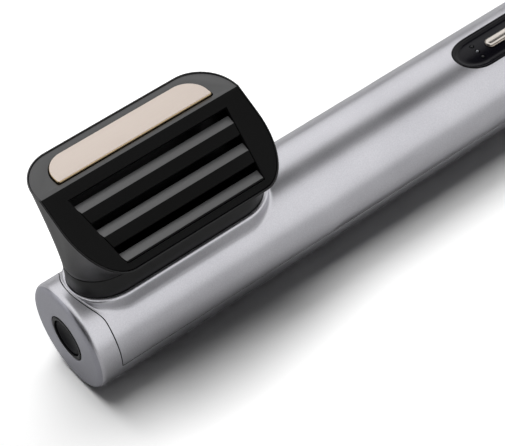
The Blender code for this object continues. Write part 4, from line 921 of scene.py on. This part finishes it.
@dataclass
class Head:
    """The flared head with its roof face, air blades and heated plate."""

    form: HeadForm
    wall: float = 1.6
    spigot: float = 2.1
    spigot_wall: float = 1.5
    spigot_low: float = 20.0
    face_thick: float = 2.2
    grille_top: float = 4.2
    grille_half_top: float = 31.5
    grille_half_low: float = 27.4
    grille_rest: float = 0.3
    blades: int = 3
    slot: float = 2.35
    ramp: float = 3.6
    land: float = 4.35
    last_land: float = 0.6
    depth: float = 1.8
    blade_thick: float = 1.3
    blade_inset: float = 0.3
    plate_start: float = 2.3
    plate_end: float = 13.9
    plate_half: float = 30.6
    plate_corner: Point2 = (8.0, 8.6)
    plate_near: float = 0.9
    plate_gap: float = 0.42
    plate_proud: float = 0.9
    plate_thick: float = 2.6

    def build_shell(self) -> None:
        """The flared shell with a rounded rim, down to the spigot."""
        form, wall = self.form, self.wall
        inner = self.spigot + self.spigot_wall
        rises = [index / 22 for index in range(1, 22)]
        rings = [form.level(self.spigot_low, self.spigot), form.level(form.neck_z, self.spigot),
                 form.level(form.neck_z, 0.25), form.level(form.neck_z + 0.06, 0.06),
                 form.level(form.neck_z + 0.25, 0.0)]
        rings += [form.ring(rise, 0.0) for rise in rises[1:]]
        rim = ((0.0, -0.5), (0.0, -0.34), (0.03, -0.2), (0.12, -0.08), (0.25, -0.04), (0.38, -0.08),
               (0.47, -0.2), (0.5, -0.36))
        rings += [form.ring(1.0, inset, extra) for inset, extra in rim]
        rings += [form.ring(0.93, 0.5), form.ring(0.9, 0.55), form.ring(0.9, wall)]
        rings += [form.ring(rise, wall) for rise in reversed(rises[2:]) if rise < 0.88]
        rings += [form.level(form.neck_z + 1.4, inner), form.level(self.spigot_low, inner)]
        shell = wrapped("head_body", rings, path_closed=True)
        back = form.ridge_y * MM
        # Upward faces behind the ridge take the lighter black copy: painted light.
        painted_where(shell, LIT_GLOSSY_BLACK,
                      lambda centre, normal: normal.z > 0.4 and centre.y > back and centre.z > AXIS_Z + 0.05)
        middle = at(form.x, 0.0, 0.0)
        painted_where(shell, INNER_AND_GAP_SHADE_BLACK,
                      lambda centre, normal: normal.z < 0.3 and (centre - middle).xy.dot(normal.xy) < 0.0)
        dressed(shell, SATIN_BLACK, Body.HEAD, "head_shell", angle=50.0)

    def grille(self) -> list[Point2]:
        """Outline of the grille opening on the front slope."""
        low = -self.grille_low() - self.last_land - self.grille_rest
        return [(-self.grille_half_low, low), (self.grille_half_low, low),
                (self.grille_half_top, -self.grille_top), (-self.grille_half_top, -self.grille_top)]

    def grille_low(self) -> float:
        """Distance from the ridge to the last ramp's foot."""
        return self.grille_top + self.blades * (self.slot + self.ramp) + (self.blades - 1) * self.land

    def plate(self, inset: float) -> list[Point2]:
        """Outline of the heated plate on the rear slope, drawn in by an inset."""
        near, corner, half = self.plate_near, self.plate_corner, self.plate_half
        small = near - inset / 2
        points = ellipse((-half + near, self.plate_start + near), small, small, 180.0, 270.0, 5)
        points = [(x + inset / 2, y + inset / 2) for x, y in points]
        right = [(-x, y) for x, y in reversed(points)]
        middle = (half - corner[0], self.plate_end - corner[1])
        far = ellipse(middle, corner[0] - inset, corner[1] - inset, 0.0, 90.0, 14)
        left = [(-x, y) for x, y in reversed(far)]
        return points + right + far + left

    def build_face(self) -> None:
        """The roof-shaped face, with its two openings and softened edges."""
        form, thick, reach = self.form, self.face_thick, 27.0
        front, rear = form.roof(-reach), form.roof(reach)
        section = [(-reach, front), (form.ridge_y, form.ridge_z), (reach, rear), (reach, rear - thick),
                   (form.ridge_y, form.ridge_z - thick), (-reach, front - thick)]
        lay = Matrix(((0, 0, 1, NOSE_X + form.x * MM), (1, 0, 0, 0), (0, 1, 0, AXIS_Z), (0, 0, 0, 1)))
        face = slab("roof_face", section, -42.0, 42.0, lay)
        inset = self.wall + 0.3
        rings = [form.ring(rise, inset) for rise in (0.5, 0.6, 0.7, 0.8, 0.92)]
        rings += [form.ring(0.921, 0.62), form.ring(0.96, 0.62), form.ring(1.0, 0.62)]
        rings.append([point + Vector((0.0, 0.0, 12 * MM)) for point in rings[-1]])
        combine(face, wrapped("head_cavity", rings, capped=True), Cut.KEEP)
        for name, outline, in_front in (("grille_cut", self.grille(), True),
                                        ("plate_cut", self.plate(-self.plate_gap), False)):
            combine(face, slab(name, outline, -6.0, 3.0, form.plane(in_front)), Cut.AWAY)
        rounded(face, 0.16, 3, 24.0)
        # The rear slope takes the lighter black copy: painted light.
        painted_where(face, LIT_GLOSSY_BLACK, lambda centre, normal: normal.z > 0.97)
        # The rest of the face, the front slope among it, takes the darker black copy: painted shade.
        dressed(face, SHADED_MATT_BLACK, Body.HEAD, "face_frame", angle=30.0)

    def build_blades(self) -> None:
        """One blade is modelled, then copied to each slot and trimmed to the opening's sides."""
        thick = self.blade_thick
        place = self.form.plane(True)
        section = [(0.0, -self.depth), (-self.ramp, 0.0), (-self.ramp - self.land, 0.0),
                   (-self.ramp - self.land, -thick), (-self.ramp - thick / 2, -thick),
                   (0.0, -self.depth - thick)]
        lay = Matrix(((0, 0, 1, 0), (1, 0, 0, 0), (0, 1, 0, 0), (0, 0, 0, 1)))
        reach = self.grille_half_top + 1.0
        pattern = slab("air_blade", section, -reach, reach, lay)
        run = self.grille_low() + self.last_land - self.grille_top
        lean = math.atan2(self.grille_half_top - self.grille_half_low, run + self.grille_rest)
        half = (self.grille_half_top - self.blade_inset) * MM
        for index in range(self.blades):
            start = self.grille_top + self.slot + index * (self.slot + self.ramp + self.land)
            blade = copied(pattern, f"air_blade_{index + 1}", Matrix.Translation((0, -start * MM, 0)))
            trims = [((side * half, -self.grille_top * MM, 0.0),
                      (side * math.cos(lean), -math.sin(lean), 0.0)) for side in (-1.0, 1.0)]
            if index == self.blades - 1:
                trims.append(((0.0, -(start + self.ramp + self.last_land) * MM, 0.0), (0.0, -1.0, 0.0)))
            with editing(blade):
                for point, normal in trims:
                    bpy.ops.mesh.select_all(action="SELECT")
                    bpy.ops.mesh.bisect(plane_co=point, plane_no=normal, use_fill=True, clear_outer=True)
            tidy_mesh(blade)
            rounded(blade, 0.16, 2, 20.0)
            # Lands and undersides of each blade take the darker copy: painted shade.
            painted_where(blade, SHADED_LAND_BLACK, lambda centre, normal: normal.y < 0.3)
            blade.data.transform(place)
            # The blades' ramps keep the paler grey: painted light.
            dressed(blade, KEY_AND_LIT_RAMP_GREY, Body.HEAD, f"louvre_blade_{index + 1}", angle=30.0)
        bpy.data.objects.remove(pattern)

    def build_plate(self) -> None:
        """The champagne plate, with its golden edge."""
        low, high = self.plate_proud - self.plate_thick, self.plate_proud
        plate = slab("styling_plate", self.plate(0.0), low, high)
        rounded(plate, 0.42, 3, 50.0)
        painted_where(plate, PLATE_EDGE, lambda centre, normal: normal.z < 0.8)
        plate.data.transform(self.form.plane(False))
        dressed(plate, PLATE_COATING, Body.HEAD, "heated_plate", angle=40.0)

    def build(self) -> None:
        """All of the head's outer pieces."""
        self.build_shell()
        self.build_face()
        self.build_blades()
        self.build_plate()


@dataclass
class ControlPanel:
    """The recessed tray with its slide bar, two round keys and three signal lenses."""

    barrel: Barrel
    x: float = 203.25
    half: float = 31.75
    width: float = 7.5
    end: float = 11.0
    turn: float = 8.0
    floor: float = 18.6
    slider_x: float = 197.2
    slider_half: float = 11.0
    slider_width: float = 1.7
    slider_z: float = 18.9
    key: float = 2.6
    key_x: tuple[float, float] = (221.0, 228.5)
    key_low: float = 16.0
    key_top: float = 19.8
    lens: float = 0.55
    lens_hole: float = 0.92
    lens_x: float = 181.9
    lens_pitch: float = 3.0

    def lean(self, obj: Obj) -> Obj:
        """Turn a piece that was drawn on top of the barrel to the panel's place round it."""
        axis = Matrix.Translation((0.0, 0.0, AXIS_Z))
        obj.data.transform(axis @ Matrix.Rotation(math.radians(self.turn), 4, "X") @ axis.inverted())
        return obj

    def ring(self, inset: float, radius: float) -> list[Vector]:
        """A ring of the panel's outline, drawn in by an inset, at a distance from the barrel's axis."""
        width = self.barrel.unrolled(self.width)
        share = max(1.0 - inset / width, 0.0)
        points = capsule(self.x, self.half - inset, width * share, max(self.end - inset, 0.01), 40, 40)
        return [self.barrel.point(x, s, radius) for x, s in points]

    def build_tray(self) -> None:
        """The tray: a raised rim, a soft step down and the floor with its holes."""
        width = self.barrel.unrolled(self.width)
        path = [(0.0, 17.4), (0.0, 19.6), (0.0, 19.9), (0.05, 20.02), (0.16, 20.1), (0.3, 20.1),
                (0.42, 20.04), (0.5, 19.9), (0.56, 19.78), (0.7, 19.74), (1.0, 19.72), (1.1, 19.68),
                (1.16, 19.58), (1.3, 19.3), (1.55, 19.02), (1.95, 18.8), (2.5, 18.66), (3.3, self.floor)]
        path += [(value, self.floor) for value in (4.2, 5.0, 5.8, 6.6, 7.3)] + [(width, self.floor)]
        tray = wrapped("control_tray", [self.ring(inset, radius) for inset, radius in path])
        tidy_mesh(tray, 0.00003)
        thickened(tray, 1.0)
        low, up = 8.0, 26.0
        slot = capsule(self.slider_x + 4.0, 7.6, 1.2, 1.2, 12)
        combine(tray, slab("slide_slot", slot, low, up, ON_AXIS), Cut.AWAY)
        holes = [("key_cut", self.key + 0.25, x, 0.0, 48) for x in self.key_x]
        holes += [("lens_cut", self.lens_hole, self.lens_x, index * self.lens_pitch, 24)
                  for index in (-1, 0, 1)]
        for name, radius, x, y, steps in holes:
            combine(tray, post(name, radius, at(x, y, low), at(x, y, up), steps), Cut.AWAY)
        dressed(self.lean(tray), TRAY_BLACK, Body.HANDLE, "panel_tray", angle=38.0)

    def build_slider(self) -> None:
        """The crowned slide bar with a thin flange round its foot, on its stem."""
        rows = []
        for inset, z in ((-0.36, 0.0), (-0.36, 0.08), (-0.32, 0.13), (-0.24, 0.13), (-0.19, 0.02),
                         (0.0, 0.02), (0.0, 0.45), (0.06, 0.68), (0.2, 0.88), (0.42, 1.03), (0.75, 1.15),
                         (1.15, 1.21), (self.slider_width - 0.02, 1.23)):
            end = self.slider_width - inset
            shorter = inset if inset > 0.0 else 0.15 * inset
            outline = capsule(self.slider_x, self.slider_half - shorter, end, end, 20, 24)
            rows.append(laid(outline, self.slider_z + z))
        bar = wrapped("power_slide", rows, capped=True)
        stem = capsule(self.slider_x, 3.0, 0.9, 0.9, 8)
        combine(bar, slab("slide_stem", stem, 15.8, self.slider_z + 0.02, ON_AXIS), Cut.JOIN)
        dressed(self.lean(bar), SLIDER_COATING, Body.SLIDER, "power_slider", angle=40.0)

    def build_keys(self) -> None:
        """The two dished keys, one with a heat sign and one with a cold sign."""
        side, top = self.key, self.key_top
        plan = (("heat_key_cap", Body.HEAT_KEY, "heat_button"),
                ("cool_key_cap", Body.COOL_KEY, "cool_button"))
        for (name, body, node), x in zip(plan, self.key_x):
            key = wrapped(name, [laid(ellipse((x, 0.0), radius, radius, 0.0, 352.5, 47), z) for radius, z in (
                (side, self.key_low), (side, 18.2), (side, top - 0.3), (side - 0.08, top - 0.1),
                (side - 0.28, top), (side - 0.6, top - 0.03), (1.3, top - 0.16), (0.5, top - 0.22),
                (0.02, top - 0.23))], capped=True)
            signs = [self.bar(x, turn, 1.25) for turn in (0.0, 60.0, 120.0)] if body is Body.COOL_KEY else [
                self.bar(x + shift, 90.0, 0.9) for shift in (-0.8, 0.0, 0.8)]
            key.data.materials.append(material_of(KEY_AND_LIT_RAMP_GREY))
            for piece in (key, *signs):
                piece.data.materials.append(material_of(ICON_PAINT))
            key = joined(name, [key, *signs])
            key.data.materials[0] = None
            dressed(self.lean(key), KEY_AND_LIT_RAMP_GREY, body, node)

    def bar(self, x: float, turn: float, half: float) -> Obj:
        """A thin stroke of a key's sign, laid on the key's dish."""
        place = Matrix.Translation(at(x, 0.0, self.key_top - 0.35)) @ Matrix.Rotation(
            math.radians(turn), 4, "Z")
        return slab("key_sign", capsule(0.0, half, 0.13, 0.13, 6), 0.0, 0.22, place)

    def build_lenses(self) -> None:
        """The three domed lenses."""
        for index in (-1, 0, 1):
            y = index * self.lens_pitch
            top = math.sqrt(self.floor ** 2 - y ** 2) + 0.1
            rings = [laid(ellipse((self.lens_x, y), radius, radius, 0.0, 345.0, 23), z) for radius, z in (
                (self.lens, 14.1), (self.lens, top - 0.14), (self.lens - 0.05, top), (0.36, top + 0.1),
                (0.15, top + 0.15), (0.01, top + 0.16))]
            lens = self.lean(wrapped(f"signal_lens_{index + 2}", rings, capped=True))
            dressed(lens, DARK_LENS if index else LENS, Body.HANDLE, f"indicator_lens_{index + 2}")

    def build(self) -> None:
        """The whole panel."""
        self.build_tray()
        self.build_slider()
        self.build_keys()
        self.build_lenses()


@dataclass
class RearEnd:
    """The slotted air inlet, the end cap with its screws, and the cord's swivelling bush."""

    radius: float = 20.0
    start: float = 259.0
    end: float = 277.0
    slots: int = 20
    slot_half: float = 0.8
    slot_length: float = 12.0
    cap_end: float = 284.0
    screw_y: float = 12.1

    def build_inlet(self) -> None:
        """The sleeve with its round-ended slots: one pair of slots is cut at a time."""
        radius, start, end = self.radius, self.start, self.end
        sleeve = turned("air_inlet", [
            (end, 18.0), (end, radius - 0.14), (end - 0.05, radius - 0.05), (end - 0.15, radius),
            (start + 0.15, radius), (start + 0.05, radius - 0.05), (start, radius - 0.14), (start, 17.7),
            (start - 3.0, 17.7), (start - 3.0, 16.7), (start + 1.0, 16.7), (start + 2.0, 18.0)], 120)
        outline = capsule((start + end) / 2 + 1.0, self.slot_length / 2, self.slot_half, self.slot_half, 10)
        for index in range(self.slots // 2):
            place = ON_AXIS @ Matrix.Rotation(math.tau * index / self.slots, 4, "X")
            combine(sleeve, slab("inlet_slot", outline, -24.0, 24.0, place), Cut.AWAY)
        dressed(sleeve, SATIN_BLACK, Body.HANDLE, "inlet_grille", angle=30.0)

    def build_cap(self) -> None:
        """The rounded end cap, sunk for its screws."""
        radius, end = self.radius, self.cap_end
        arc = ellipse((end - 3.0, radius - 3.0), 3.0, 3.0, 0.0, 90.0, 10)
        cap = turned("end_cap", [(end, 6.5), (end, 11.0), (end, 14.0)] + arc + [
            (277.5, radius), (277.36, radius - 0.05), (277.3, radius - 0.16), (277.3, 17.7), (274.5, 17.7),
            (274.5, 15.5), (end - 2.2, 15.5), (end - 2.2, 6.5)], 120)
        for side in (-1, 1):
            y = side * self.screw_y
            for name, hole, depth, steps in (("screw_sink", 2.55, 1.4, 40), ("screw_hole", 1.5, 9.0, 24)):
                drill = post(name, hole, at(end - depth, y, 0.0), at(end + 2.0, y, 0.0), steps)
                combine(cap, drill, Cut.AWAY)
        dressed(cap, SATIN_BLACK, Body.HANDLE, "rear_cap", angle=30.0)

    def build_screws(self) -> None:
        """Two pan-head screws with a cross recess, one copied from the other."""
        seat = self.cap_end - 1.2
        profile = [(seat + 0.98, 0.0), (seat + 0.96, 0.9), (seat + 0.86, 1.6), (seat + 0.6, 2.1),
                   (seat + 0.2, 2.3), (seat, 2.3), (seat, 1.2), (seat - 5.6, 1.2), (seat - 6.0, 0.9),
                   (seat - 6.0, 0.0)]
        screw = turned("cap_screw", profile, 40)
        for wide, tall in ((1.5, 0.3), (0.3, 1.5)):
            recess = block("recess", at(seat + 0.25, -wide, -tall), at(seat + 2.0, wide, tall))
            combine(screw, recess, Cut.AWAY)
        for index, side in enumerate((-1, 1)):
            move = Matrix.Translation((0, side * self.screw_y * MM, 0))
            twin = copied(screw, f"cap_screw_{index + 1}", move)
            dressed(twin, BRIGHT_STEEL, Body.HANDLE, f"rear_screw_{index + 1}", angle=30.0)
        bpy.data.objects.remove(screw)

    def build_bush(self) -> None:
        """The rubber bush with three grooves round it."""
        outer = [(290.0, 3.7), (290.0, 4.9), (289.8, 5.15), (289.0, 5.6)]
        for groove in (288.4, 287.2, 286.0):
            outer += [(groove, 5.95), (groove - 0.1, 5.55), (groove - 0.4, 5.5), (groove - 0.5, 6.0)]
        outer += [(284.6, 6.2), (281.5, 6.2), (281.5, 8.4), (280.1, 8.4), (280.1, 3.7)]
        bush = turned("cord_bush", outer, 80)
        dressed(bush, SOFT_RUBBER, Body.GLAND, "cord_gland")

    def build(self) -> None:
        """The whole rear end."""
        self.build_inlet()
        self.build_cap()
        self.build_screws()
        self.build_bush()


@dataclass
class InnerParts:
    """The CAD nodes that keep their shape, listed by finish."""

    nodes: dict[Finish, str] = field(default_factory=lambda: {
        INNER_AND_GAP_SHADE_BLACK: "button_guide latch_rod contact_socket air_scoop motor_housing impeller head_contact "
                     "plate_carrier",
        BRIGHT_STEEL: "button_spring thermostat slide_switch tact_switch_1 tact_switch_2 motor motor_shaft "
                      "head_catch carrier_screw_1 carrier_screw_2",
        SOFT_RUBBER: "collar_seal heater_ring_front heater_ring_rear motor_ring_front motor_ring_rear "
                     "inlet_filter",
        PIN_BRASS: "contact_pin_1 contact_pin_2 contact_pin_3", MICA: "heater_tube heater_cross",
        COIL_WIRE: "heater_coil", CERAMIC: "thermal_fuse plate_heater", BOARD_LACQUER: "circuit_board"})

    def build(self) -> None:
        """Dress each node."""
        for finish, names in self.nodes.items():
            for name in names.split():
                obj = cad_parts[name]
                obj.data.materials.clear()
                obj.data.materials.append(material_of(finish))
        LOG.info("inner nodes dressed in %d finishes", len(self.nodes))


@dataclass
class Lamp:
    """One soft lamp, aimed at the object.

    Args:
        towards: direction from the object to the lamp.
        distance: how far away it stands, in metres.
        size: its width and height, in metres.
        level: how bright its surface looks, where 1 is a white surface.
    """

    name: str
    towards: Triple
    distance: float
    size: Point2
    level: float

    def build(self, target: Vector) -> None:
        """Add the lamp, aimed at a point."""
        way = Vector(self.towards).normalized()
        bpy.ops.object.light_add(type="AREA", location=target + way * self.distance)
        lamp = bpy.context.object
        lamp.name = self.name
        lamp.rotation_euler = way.to_track_quat("Z", "Y").to_euler()
        lamp.data.shape = "RECTANGLE"
        lamp.data.size, lamp.data.size_y = self.size
        lamp.data.energy = self.level * math.pi * self.size[0] * self.size[1]
        lamp.visible_glossy = False


@dataclass
class Card:
    """A flat board that stands out of the picture and shows as a dark shape in the gloss.

    Args:
        centre: its middle, in metres.
        facing: direction that it faces.
        size: its width and height, in metres.
        grey: how pale it is, linear.
    """

    name: str
    centre: Triple
    facing: Triple
    size: Point2
    grey: float = 0.02

    def build(self) -> None:
        """Add the board."""
        turn = Vector(self.facing).to_track_quat("Z", "Y").to_euler()
        bpy.ops.mesh.primitive_plane_add(size=1.0, location=self.centre, rotation=turn)
        bpy.context.object.scale = (*self.size, 1.0)
        board = named(self.name)
        material = material_with_nodes(self.name)
        feed(material.node_tree, material.node_tree.nodes["Principled BSDF"], {
            "Base Color": (self.grey, self.grey, self.grey, 1.0), "Roughness": 1.0,
            "Specular IOR Level": 0.0})
        board.data.materials.append(material)
        board.visible_camera = False


@dataclass
class Studio:
    """Pale floor, soft lamps, white surroundings and the camera."""

    ambient: float = 0.03
    floor_size: float = 6.0
    floor_z: float = -0.0001
    floor_grey: float = 0.55
    floor_gain: float = 0.97
    floor_in_gloss: float = 0.15
    floor_fade: Point2 = (0.018, 0.064)
    floor_squeeze: Triple = (0.12, 1.0, 1.0)
    lens_mm: float = 134.32
    sensor_mm: float = 36.0
    camera_place: Triple = (-0.31297, -0.37877, 0.49539)
    camera_right: Triple = (0.7861, -0.6129, -0.0803)
    camera_up: Triple = (0.4906, 0.5397, 0.6841)
    camera_back: Triple = (-0.3760, -0.5772, 0.7249)
    target: Triple = (-0.05, 0.0, 0.03)
    lamps: tuple[Lamp, ...] = (
        Lamp("key_softbox", (0.07, 0.33, 0.90), 1.3, (1.1, 1.4), 4.3),
    )
    cards: tuple[Card, ...] = (
        Card("overhead_card", (0.60, 0.0, 1.2), (0.0, 0.0, -1.0), (1.2, 0.78)),
        Card("nose_card", (-0.66, -0.22, 0.24), (0.88, 0.36, -0.3), (0.9, 0.75), 0.005),
        Card("rear_card", (0.35, 0.55, 0.06), (0.0, -1.0, 0.0), (1.8, 0.12)),
    )

    @staticmethod
    def shown(tree: Tree, in_gloss: float) -> bpy.types.Node:
        """A factor that is 1 for what the camera sees, also through glass, and in_gloss in gloss."""
        ray = added(tree, "LightPath").outputs
        direct = added(tree, "Math", {0: ray["Diffuse Depth"], 1: 0.5}, operation="LESS_THAN")
        gloss = added(tree, "Math", {0: ray["Is Glossy Ray"], 1: direct}, operation="MULTIPLY")
        both = added(tree, "Math", {0: gloss, 1: in_gloss, 2: ray["Is Camera Ray"]},
                     operation="MULTIPLY_ADD")
        return added(tree, "Math", {0: both, 1: ray["Is Transmission Ray"]}, operation="ADD",
                     use_clamp=True)

    def build_floor(self) -> None:
        """The floor, which shows white to the camera and keeps the shadow."""
        bpy.ops.mesh.primitive_grid_add(x_subdivisions=4, y_subdivisions=4, size=self.floor_size,
                                        location=(0, 0, self.floor_z))
        floor = named("studio_floor")
        material = material_with_nodes("studio_floor")
        tree, grey, gain = material.node_tree, self.floor_grey, self.floor_gain
        surface = feed(tree, tree.nodes["Principled BSDF"], {
            "Base Color": (grey, grey, grey, 1.0), "Roughness": 0.9, "Specular IOR Level": 0.0})
        none = added(tree, "BsdfDiffuse", {"Color": (0.0, 0.0, 0.0, 1.0)})
        more = added(tree, "BsdfDiffuse", {"Color": (gain, gain, gain, 1.0)})
        white = added(tree, "Emission", {"Color": WHITE})
        place = added(tree, "TexCoord").outputs["Object"]
        squeezed = added(tree, "Mapping", {"Vector": place, "Scale": self.floor_squeeze})
        away = added(tree, "VectorMath", {0: squeezed}, operation="LENGTH").outputs["Value"]
        far = added(tree, "MapRange", {
            "Value": away, "From Min": self.floor_fade[0], "From Max": self.floor_fade[1]},
            interpolation_type="SMOOTHSTEP")
        paler = added(tree, "MixShader", {0: far, 1: more, 2: white})
        choose = added(tree, "MixShader", {0: self.shown(tree, self.floor_in_gloss), 1: none, 2: paler})
        total = added(tree, "AddShader", {0: surface, 1: choose})
        feed(tree, tree.nodes["Material Output"], {"Surface": total})
        floor.data.materials.append(material)

    def build_world(self) -> None:
        """Even surroundings: white to the camera, in gloss and through glass, dimmer as light."""
        world = bpy.data.worlds.new("studio")
        bpy.context.scene.world = world
        world.use_nodes = True
        tree = world.node_tree
        even = feed(tree, tree.nodes["Background"], {"Color": WHITE, "Strength": self.ambient})
        white = added(tree, "Background", {"Color": WHITE, "Strength": 1.0})
        choose = added(tree, "MixShader", {0: self.shown(tree, 1.0), 1: even, 2: white})
        feed(tree, tree.nodes["World Output"], {"Surface": choose})

    def build_camera(self) -> None:
        """The camera at the photograph's place."""
        bpy.ops.object.camera_add(location=self.camera_place)
        camera = bpy.context.object
        camera.name = "photo_camera"
        turn = Matrix((self.camera_right, self.camera_up, self.camera_back)).transposed()
        camera.rotation_euler = turn.to_euler()
        camera.data.sensor_width = self.sensor_mm
        camera.data.sensor_fit = "HORIZONTAL"
        camera.data.lens = self.lens_mm
        camera.data.clip_start = 0.01
        bpy.context.scene.camera = camera

    def build(self) -> None:
        """The whole studio."""
        self.build_floor()
        for lamp in self.lamps:
            lamp.build(Vector(self.target))
        for card in self.cards:
            card.build()
        self.build_world()
        self.build_camera()
        bpy.context.scene.view_settings.view_transform = "Standard"
        LOG.info("studio with %d lamps", len(self.lamps))


def main() -> None:
    """Build every sub-assembly in order."""
    logging.basicConfig(level=logging.INFO, format="%(message)s")
    barrel = Barrel()
    form = HeadForm()
    for part in (barrel, NoseRelease(), Collar(form), Head(form), ControlPanel(barrel), RearEnd(),
                 InnerParts(), Studio()):
        part.build()
        LOG.info("%s done", type(part).__name__)


if __name__ == "__main__":
    main()
